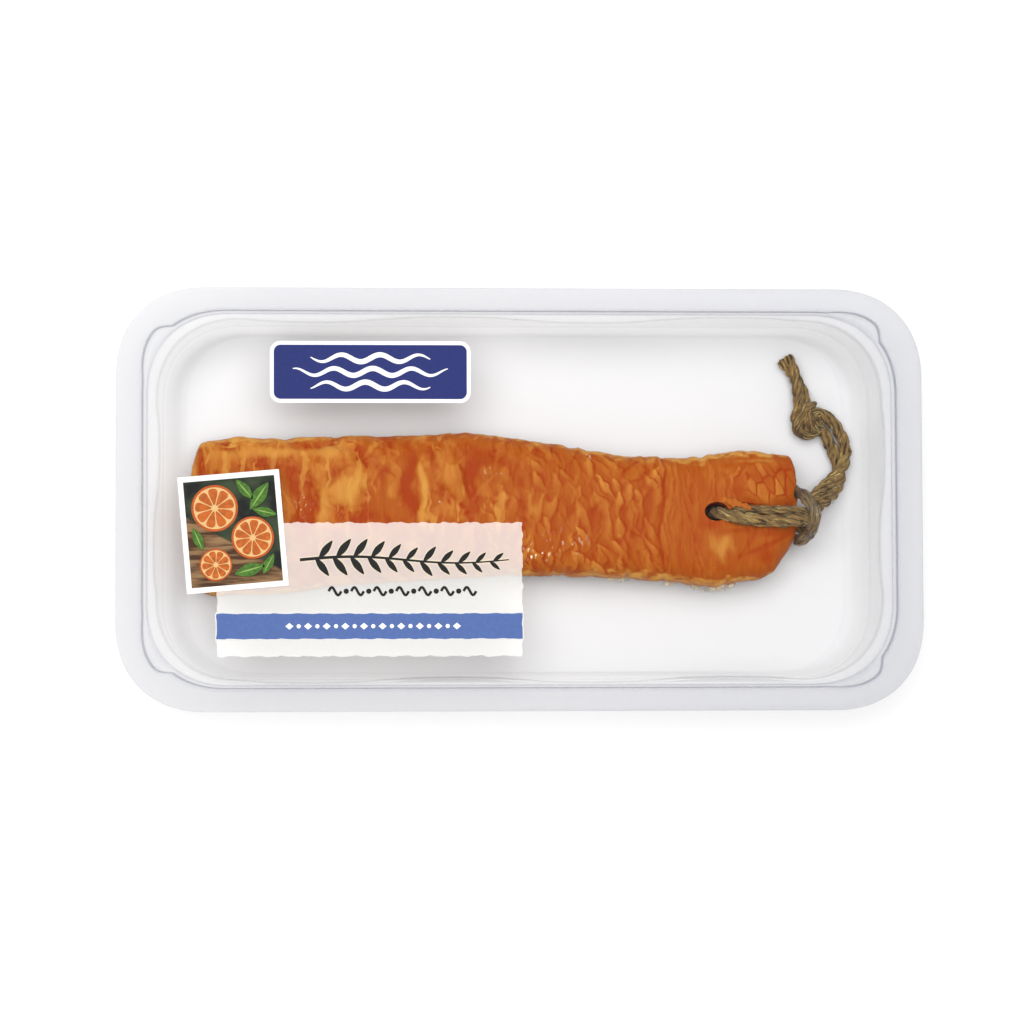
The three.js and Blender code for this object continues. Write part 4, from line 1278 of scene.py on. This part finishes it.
# Labels
def flat_grid(name, low, high, base, sheet=0.0, spacing=1.0, wave=0.0, seed=0):
    """A sheet from a grid primitive between two corners in metres, its edge torn by a gentle wave."""
    size_x, size_y = high[0] - low[0], high[1] - low[1]
    columns, rows = max(2, round(size_x / MM / spacing)), max(2, round(size_y / MM / spacing))
    deselect()
    bpy.ops.mesh.primitive_grid_add(x_subdivisions=columns, y_subdivisions=rows, size=1)
    piece = bpy.context.object
    piece.name = piece.data.name = name
    u, v = points_of(piece)[:, :2].T
    x, y = (low[0] + high[0]) / 2 + u * size_x, (low[1] + high[1]) / 2 + v * size_y
    torn = lambda along, extra: wave * (
        0.55 * np.sin(along / MM * 0.9 + extra) + 0.35 * np.sin(along / MM * 2.1 + 2 * extra)
        + 0.6 * (scatter(np.round(along / MM / spacing) + seed + extra) - 0.5)
    )
    y += np.where(np.abs(v) > 0.499, torn(x, 1.0 + np.sign(v)), 0)
    x += np.where(np.abs(u) > 0.499, torn(y, 4.0 + np.sign(u)), 0)
    piece.data.vertices.foreach_set("co", np.stack([x, y, np.full_like(x, base)], axis=1).reshape(-1))
    piece.data.update()
    if sheet:
        apply_modifier(piece, "SOLIDIFY", thickness=sheet, offset=1)
    return piece


def flat_wedge(x, y, radius, turn, base, sheet):
    """One segment of a round slice, from a circle primitive, in millimetres and radians."""
    deselect()
    bpy.ops.mesh.primitive_circle_add(vertices=36, radius=1, fill_type="NGON")
    piece = bpy.context.object
    u, v = points_of(piece)[:, :2].T
    reach = radius * (0.49 + 0.35 * np.sign(u) * np.abs(u) ** 0.6)
    angle = turn + 0.3 * np.sign(v) * np.abs(v) ** 0.6
    place = [x + reach * np.cos(angle), y + reach * np.sin(angle), np.full_like(u, base / MM)]
    move_points(piece, np.stack(place, axis=1))
    apply_modifier(piece, "SOLIDIFY", thickness=sheet, offset=1)
    return piece


def flat_disc(x, y, radius_x, radius_y, turn, base, sheet, vertices=28, pointed=0.0):
    """A thin disc, oval or pointed leaf from a circle primitive, in millimetres and radians."""
    deselect()
    bpy.ops.mesh.primitive_circle_add(vertices=vertices, radius=1, fill_type="NGON")
    piece = bpy.context.object
    u, v = points_of(piece)[:, :2].T
    along, cross = turned(u * radius_x, v * (1 - pointed * np.abs(u) ** 1.5) * radius_y, turn)
    move_points(piece, np.stack([x + along, y + cross, np.full_like(u, base / MM)], axis=1))
    apply_modifier(piece, "SOLIDIFY", thickness=sheet, offset=1)
    return piece


def flat_line(points, width, base, sheet):
    """A thin ribbon along points in millimetres, from a grid primitive, with widths per point."""
    path = np.array(points, dtype=float)
    width = np.broadcast_to(width, (len(path),))
    tangent = np.gradient(path, axis=0)
    tangent /= np.linalg.norm(tangent, axis=1)[:, None]
    side = np.stack([-tangent[:, 1], tangent[:, 0]], axis=1) * width[:, None] / 2
    deselect()
    bpy.ops.mesh.primitive_grid_add(x_subdivisions=1, y_subdivisions=len(path) - 1, size=1)
    piece = bpy.context.object
    both = np.stack([path + side, path - side], axis=1)
    flat = np.concatenate([both, np.full(both.shape[:2] + (1,), base / MM)], axis=2)
    move_points(piece, flat)
    activate(piece)
    bpy.ops.object.mode_set(mode="EDIT")
    bpy.ops.mesh.select_all(action="SELECT")
    bpy.ops.mesh.normals_make_consistent(inside=False)
    bpy.ops.object.mode_set(mode="OBJECT")
    apply_modifier(piece, "SOLIDIFY", thickness=sheet, offset=0)
    return piece


def sprig(start, end, y, base, sheet, leaf, growth=0.0):
    """A stem with pairs of narrow leaves, in millimetres."""
    x = np.linspace(start, end, 60)
    bend = y + 0.9 * np.sin((x - start) / (end - start) * 2 * math.pi)
    stem = flat_line(np.stack([x, bend], axis=1), np.linspace(0.9, 0.35, 60) + growth, base, sheet)
    pieces = [stem]
    count = int((end - start) / (leaf * 0.72))
    for k in range(1, count):
        t = k / count
        at = start + t * (end - start)
        height = y + 0.9 * math.sin(t * 2 * math.pi)
        size = leaf * (1 - 0.45 * t) * (0.9 + 0.2 * float(scatter(k)))
        for way in (1, -1):
            turn = way * math.radians(52 - 14 * t + 8 * float(scatter(k + 9)))
            reach = size * 0.5
            pieces.append(flat_disc(
                at + way * 0.5 + reach * math.cos(turn), height + reach * math.sin(turn),
                size * 0.55 + growth / 2, size * 0.17 + growth / 2, turn, base, sheet, vertices=20, pointed=0.5,
            ))
    return pieces


class SALMON_OT_panel(bpy.types.Operator):
    """Models the see-through white panel with its torn edge and its dark sprig"""
    bl_idname = "salmon.panel"
    bl_label = "White panel"

    # Where the sprig and the rule start and end along x, and their place across, with the length of a leaf
    SPRIG, RULE = (-63, -3.8, -17.3), (-56.3, -11.7, -26.2)
    LEAF = 6.4

    def execute(self, context):
        sheet = sizes().print_sheet
        base = PANEL_LOW.z
        panel = flat_grid("white_panel", PANEL_LOW, PANEL_HIGH, base + sheet, spacing=0.6, wave=0.3 * MM)
        veil = print_finish("white_see_through", linear(252, 251, 247), alpha=0.42, speckle=0.003, glow=0.3)
        complete(panel, veil, "white_print", "label_panel")
        top = base + 1.5 * sheet
        halo = joined(sprig(*self.SPRIG, top, sheet, self.LEAF, growth=0.6), "sprig_halo")
        complete(halo, print_finish("cream_print", linear(252, 240, 216), alpha=0.6), "white_print")
        inked = sprig(*self.SPRIG, top + 1.5 * sheet, sheet, self.LEAF)
        inked += self.dotted_rule(*self.RULE, top + 1.5 * sheet, sheet)
        ornament = joined(inked, "sprig_ink")
        complete(ornament, print_finish("dark_ink", chosen("ink")), "white_print")
        return {"FINISHED"}

    def dotted_rule(self, start, end, y, base, sheet):
        """A wavy rule broken by dots."""
        pieces = []
        waves = 7
        pitch = (end - start) / waves
        for k in range(waves):
            x = np.linspace(start + k * pitch + 1.4, start + (k + 1) * pitch - 1.4, 24)
            wave = y + 1.1 * np.sin((x - x[0]) / (x[-1] - x[0]) * 2 * math.pi)
            pieces.append(flat_line(np.stack([x, wave], axis=1), 0.75, base, sheet))
            if k:
                pieces.append(flat_disc(start + k * pitch, y, 0.75, 0.75, 0, base, sheet, vertices=20))
        return pieces


class SALMON_OT_band(bpy.types.Operator):
    """Models the blue band with its pale outline and its row of white dots"""
    bl_idname = "salmon.band"
    bl_label = "Blue band"

    # Lozenges and dots in turn: how many, where they start, how far they run and their place across
    MARKS, MARK_START, MARK_RUN, MARK_ROW = 19, -66, 47.4, -36.1

    def execute(self, context):
        sheet = sizes().print_sheet
        grow = Vector((0.35 * MM, 0.45 * MM, 0))
        base = BAND_LOW.z
        low, high = BAND_LOW - grow, BAND_HIGH + grow
        outline = flat_grid("band_outline", low, high, base - sheet, sheet, wave=0.18 * MM, seed=5)
        complete(outline, print_finish("outline_print", chosen("white"), alpha=0.55), "white_print")
        band = flat_grid("blue_band", BAND_LOW, BAND_HIGH, base + sheet / 2, sheet, wave=0.16 * MM, seed=5)
        complete(band, print_finish("band_print", chosen("blue")), "blue_print", "label_band")
        marks = []
        for k in range(self.MARKS):
            x = self.MARK_START + k * (self.MARK_RUN / (self.MARKS - 1))
            shape = (1.15, 0.95, 4) if k % 2 == 0 else (0.6, 0.6, 16)
            marks.append(flat_disc(x, self.MARK_ROW, *shape[:2], 0, base + 2 * sheet, sheet, shape[2]))
        row = joined(marks, "band_marks")
        complete(row, print_finish("white_solid_print", chosen("white")), "white_print")
        return {"FINISHED"}


def rounded_plate(name, centre, size, corner, base, sheet):
    """A thin plate with round corners: a plane primitive whose corners are bevelled in edit mode."""
    deselect()
    bpy.ops.mesh.primitive_plane_add(size=1)
    piece = bpy.context.object
    piece.name = piece.data.name = name
    piece.scale = (size[0], size[1], 1)
    piece.location = (centre[0], centre[1], base)
    settle(piece)
    bpy.ops.object.mode_set(mode="EDIT")
    bpy.ops.mesh.select_all(action="SELECT")
    bpy.ops.mesh.bevel(offset=corner, segments=10, affect="VERTICES")
    bpy.ops.object.mode_set(mode="OBJECT")
    apply_modifier(piece, "SOLIDIFY", thickness=sheet, offset=1)
    return piece


class SALMON_OT_plate(bpy.types.Operator):
    """Models the navy name plate with its white edge and three waves"""
    bl_idname = "salmon.plate"
    bl_label = "Name plate"

    # The waves' reach to each side of their middle, and their place across
    WAVE_MIDDLE = -43
    WAVES = ((17, 40.0), (22, 36.1), (17, 32.2))

    def execute(self, context):
        sheet = sizes().print_sheet
        centre = (PLATE_LOW + PLATE_HIGH) / 2
        size = PLATE_HIGH - PLATE_LOW
        corner = sizes().plate_corner
        edge = rounded_plate("plate_edge", centre, size, corner, PLATE_LOW.z, 3 * sheet)
        complete(edge, print_finish("plate_white", chosen("white")), "navy_print", "name_plate")
        border = 1.1 * MM
        field_size = size - Vector((2 * border, 2 * border, 0))
        field = rounded_plate("plate_field", centre, field_size, corner - border, PLATE_LOW.z + 3 * sheet, sheet)
        complete(field, print_finish("field_print", chosen("navy")), "navy_print")
        waves = []
        for row, (reach, y) in enumerate(self.WAVES):
            x = np.linspace(self.WAVE_MIDDLE - reach, self.WAVE_MIDDLE + reach, 90)
            height = y + 1.0 * np.sin((x - self.WAVE_MIDDLE) / 22 * 2 * math.pi * 2 + row * 1.2)
            width = 1.5 * np.sin(np.linspace(0.05, math.pi - 0.05, 90)) ** 0.6
            waves.append(flat_line(np.stack([x, height], axis=1), width, PLATE_LOW.z + 4.6 * sheet, sheet))
        motif = joined(waves, "plate_waves")
        complete(motif, bpy.data.materials["plate_white"], "navy_print")
        return {"FINISHED"}


class SALMON_OT_card(bpy.types.Operator):
    """Models the tilted picture card: a white border round slices of citrus and leaves"""
    bl_idname = "salmon.card"
    bl_label = "Picture card"

    # Slices and leaves in millimetres from the card's middle: place, radius or length, and turn in radians
    SLICES = ((-4.6, 7.0, 6.6, 0.2), (5.4, -2.2, 6.0, 0.7), (-5.6, -9.0, 4.6, 0.4))
    LEAVES = (
        (8.2, 9.4, 4.6, 0.9), (4.2, 11.6, 3.6, 2.2), (9.4, 4.8, 3.4, -0.3), (-10.0, -1.4, 3.4, 1.9),
        (3.8, -11.2, 4.4, 0.2), (9.2, -10.0, 3.2, 1.0),
    )
    SEGMENTS = 9
    # How many sheets of print lie between one slice and the next
    LIFT = 3.2

    def execute(self, context):
        sheet = sizes().print_sheet
        self.sheet = sheet
        self.centre = (CARD_LOW + CARD_HIGH) / 2
        base = CARD_LOW.z
        size = (sizes().card_length, sizes().card_width)
        card = rounded_plate("card_border", (0, 0), size, 0.3 * MM, base, 4 * sheet)
        self.laid([card])
        complete(card, print_finish("card_white", linear(250, 249, 246)), "card_print", "picture_card")
        picture = rounded_plate("card_picture", (0, 0), (25.8 * MM, 30.0 * MM), 0.1 * MM, base + 4 * sheet, sheet)
        self.laid([picture])
        complete(picture, self.picture_finish(), "card_print")
        for name, pieces, finish in self.motifs(base + 5.5 * sheet):
            self.laid(pieces)
            motif = joined(pieces, name)
            complete(motif, finish, "card_print")
        return {"FINISHED"}

    def laid(self, pieces):
        """Turns pieces made round the origin and moves them to the card."""
        for piece in pieces:
            piece.rotation_euler.z = sizes().card_turn
            piece.location.x += self.centre.x
            piece.location.y += self.centre.y
            settle(piece)

    def picture_finish(self):
        """A soft ground for the motifs: dark slate above, warm wood below."""
        finish = Finish("card_ground", Roughness=0.45, Specular_IOR_Level=0.1)
        place = finish.place()
        grain = finish.noise(place, 260.0, 3.0, stretch=(0.35, 3.0, 1.0))
        blur = finish.noise(place, 150.0, 2.0)
        wood = finish.mix(finish.span(grain, 0.35, 0.65), linear(70, 44, 24), linear(146, 112, 76))
        slate = finish.mix(finish.span(blur, 0.35, 0.65), linear(18, 22, 20), linear(56, 68, 46))
        lean = finish.node("ShaderNodeSeparateXYZ", {}, {0: finish.mapped(place, rotation=(0, 0, 0.5))}, output=1)
        edge = finish.span(lean, -0.0508, -0.0500)
        finish.feed(Base_Color=finish.mix(edge, wood, slate))
        return finish.material

    def motifs(self, base):
        sheet = self.sheet
        rind, pith, segments, leaves, veins = [], [], [], [], []
        for x, y, radius, turn in self.SLICES:
            rind.append(flat_disc(x, y, radius, radius, 0, base, sheet, 40))
            pith.append(flat_disc(x, y, radius * 0.9, radius * 0.9, 0, base + sheet, sheet, 40))
            for k in range(self.SEGMENTS):
                angle = turn + k * 2 * math.pi / self.SEGMENTS
                segments.append(flat_wedge(x, y, radius, angle, base + 2 * sheet, sheet))
            base += self.LIFT * sheet
        for x, y, size, turn in self.LEAVES:
            leaves.append(flat_disc(
                x, y, size, size * 0.42, turn, base + sheet, sheet, vertices=32, pointed=0.55))
            veins.append(flat_disc(
                x, y, size * 0.86, size * 0.05, turn, base + 2 * sheet, sheet, vertices=16, pointed=0.6))
        return (
            ("citrus_rind", rind, print_finish("rind_print", linear(190, 84, 14), speckle=0.05)),
            ("citrus_pith", pith, print_finish("pith_print", linear(226, 184, 122))),
            ("citrus_segments", segments, print_finish("segment_print", linear(198, 98, 22), speckle=0.08)),
            ("card_leaves", leaves, print_finish("leaf_print", linear(76, 122, 36), speckle=0.1)),
            ("card_veins", veins, print_finish("vein_print", linear(140, 176, 86))),
        )


class SALMON_OT_stage(bpy.types.Operator):
    """Sets the camera, the pale floor and the soft light"""
    bl_idname = "salmon.stage"
    bl_label = "Stage"

    # The camera's view at the point that it aims at, its distance, and how far it leans from straight above
    FRAME_WIDTH = 0.2911
    DISTANCE = 1.1
    LEAN_X, LEAN_Y = math.radians(3.6), math.radians(3.2)
    AIM = (-2.8, -3.7, 27.0)
    WORLD_STRENGTH = 0.5

    def execute(self, context):
        scene = context.scene
        scene.view_settings.view_transform = "Standard"
        deselect()
        bpy.ops.mesh.primitive_plane_add(size=6, location=(0, 0, -0.0002))
        floor = context.object
        floor.name = "floor"
        dress(floor, floor_finish(), smooth=0)
        floor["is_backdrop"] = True
        self.make_world(scene)
        self.make_light("softbox", (-0.12, 0.16, 1.25), size=1.0, power=14.5)
        self.make_camera(scene)
        return {"FINISHED"}

    def make_world(self, scene):
        world = bpy.data.worlds.new("studio")
        world.use_nodes = True
        background = world.node_tree.nodes["Background"]
        background.inputs["Color"].default_value = (1.0, 1.0, 1.0, 1.0)
        background.inputs["Strength"].default_value = self.WORLD_STRENGTH
        scene.world = world

    def make_light(self, name, place, size, power):
        light = bpy.data.lights.new(name, "AREA")
        light.shape = "SQUARE"
        light.size = size
        light.energy = power
        lamp = bpy.data.objects.new(name, light)
        bpy.context.scene.collection.objects.link(lamp)
        lamp.location = place
        lamp.rotation_euler = (-Vector(place)).to_track_quat("-Z", "Y").to_euler()

    def make_camera(self, scene):
        data = bpy.data.cameras.new("camera")
        data.sensor_width = 36
        data.lens = data.sensor_width * self.DISTANCE / self.FRAME_WIDTH
        camera = bpy.data.objects.new("camera", data)
        scene.collection.objects.link(camera)
        aim = Vector(self.AIM) * MM
        away = Vector((-math.tan(self.LEAN_X), -math.tan(self.LEAN_Y), 1)).normalized()
        right = (Vector((1, 0, 0)) - away * away.x).normalized()
        camera.location = aim + away * self.DISTANCE
        camera.rotation_euler = Matrix((right, away.cross(right), away)).transposed().to_euler()
        scene.camera = camera


class SALMON_PT_panel(bpy.types.Panel):
    """The pack's steps, sizes and colours"""
    bl_label = "Salmon pack"
    bl_space_type = "VIEW_3D"
    bl_region_type = "UI"
    bl_category = "Salmon pack"

    def draw(self, context):
        for operator in STEPS:
            self.layout.operator(operator.bl_idname)
        for name, kind in GROUPS.items():
            box = self.layout.box()
            for field in kind.__annotations__:
                box.prop(getattr(context.scene, name), field)


STEPS = (
    SALMON_OT_stage, SALMON_OT_tray, SALMON_OT_film, SALMON_OT_salmon, SALMON_OT_shreds, SALMON_OT_loop,
    SALMON_OT_tail, SALMON_OT_panel, SALMON_OT_band, SALMON_OT_plate, SALMON_OT_card,
)
GROUPS = {
    "salmon_pack_sizes": PackSizes,
    "salmon_food_sizes": FoodSizes,
    "salmon_pack_colours": PackColours,
}


def register():
    for item in (*GROUPS.values(), *STEPS, SALMON_PT_panel):
        bpy.utils.register_class(item)
    for name, group in GROUPS.items():
        setattr(bpy.types.Scene, name, bpy.props.PointerProperty(type=group))


def unregister():
    for name in GROUPS:
        delattr(bpy.types.Scene, name)
    for item in (SALMON_PT_panel, *reversed(STEPS), *reversed(GROUPS.values())):
        bpy.utils.unregister_class(item)


def main():
    register()
    for step in STEPS:
        family, name = step.bl_idname.split(".")
        getattr(getattr(bpy.ops, family), name)()
    boxes = {"cad": [list(corner) for corner in CAD_BOX], "visual": [list(corner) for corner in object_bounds()]}


if __name__ == "__main__":
    main()
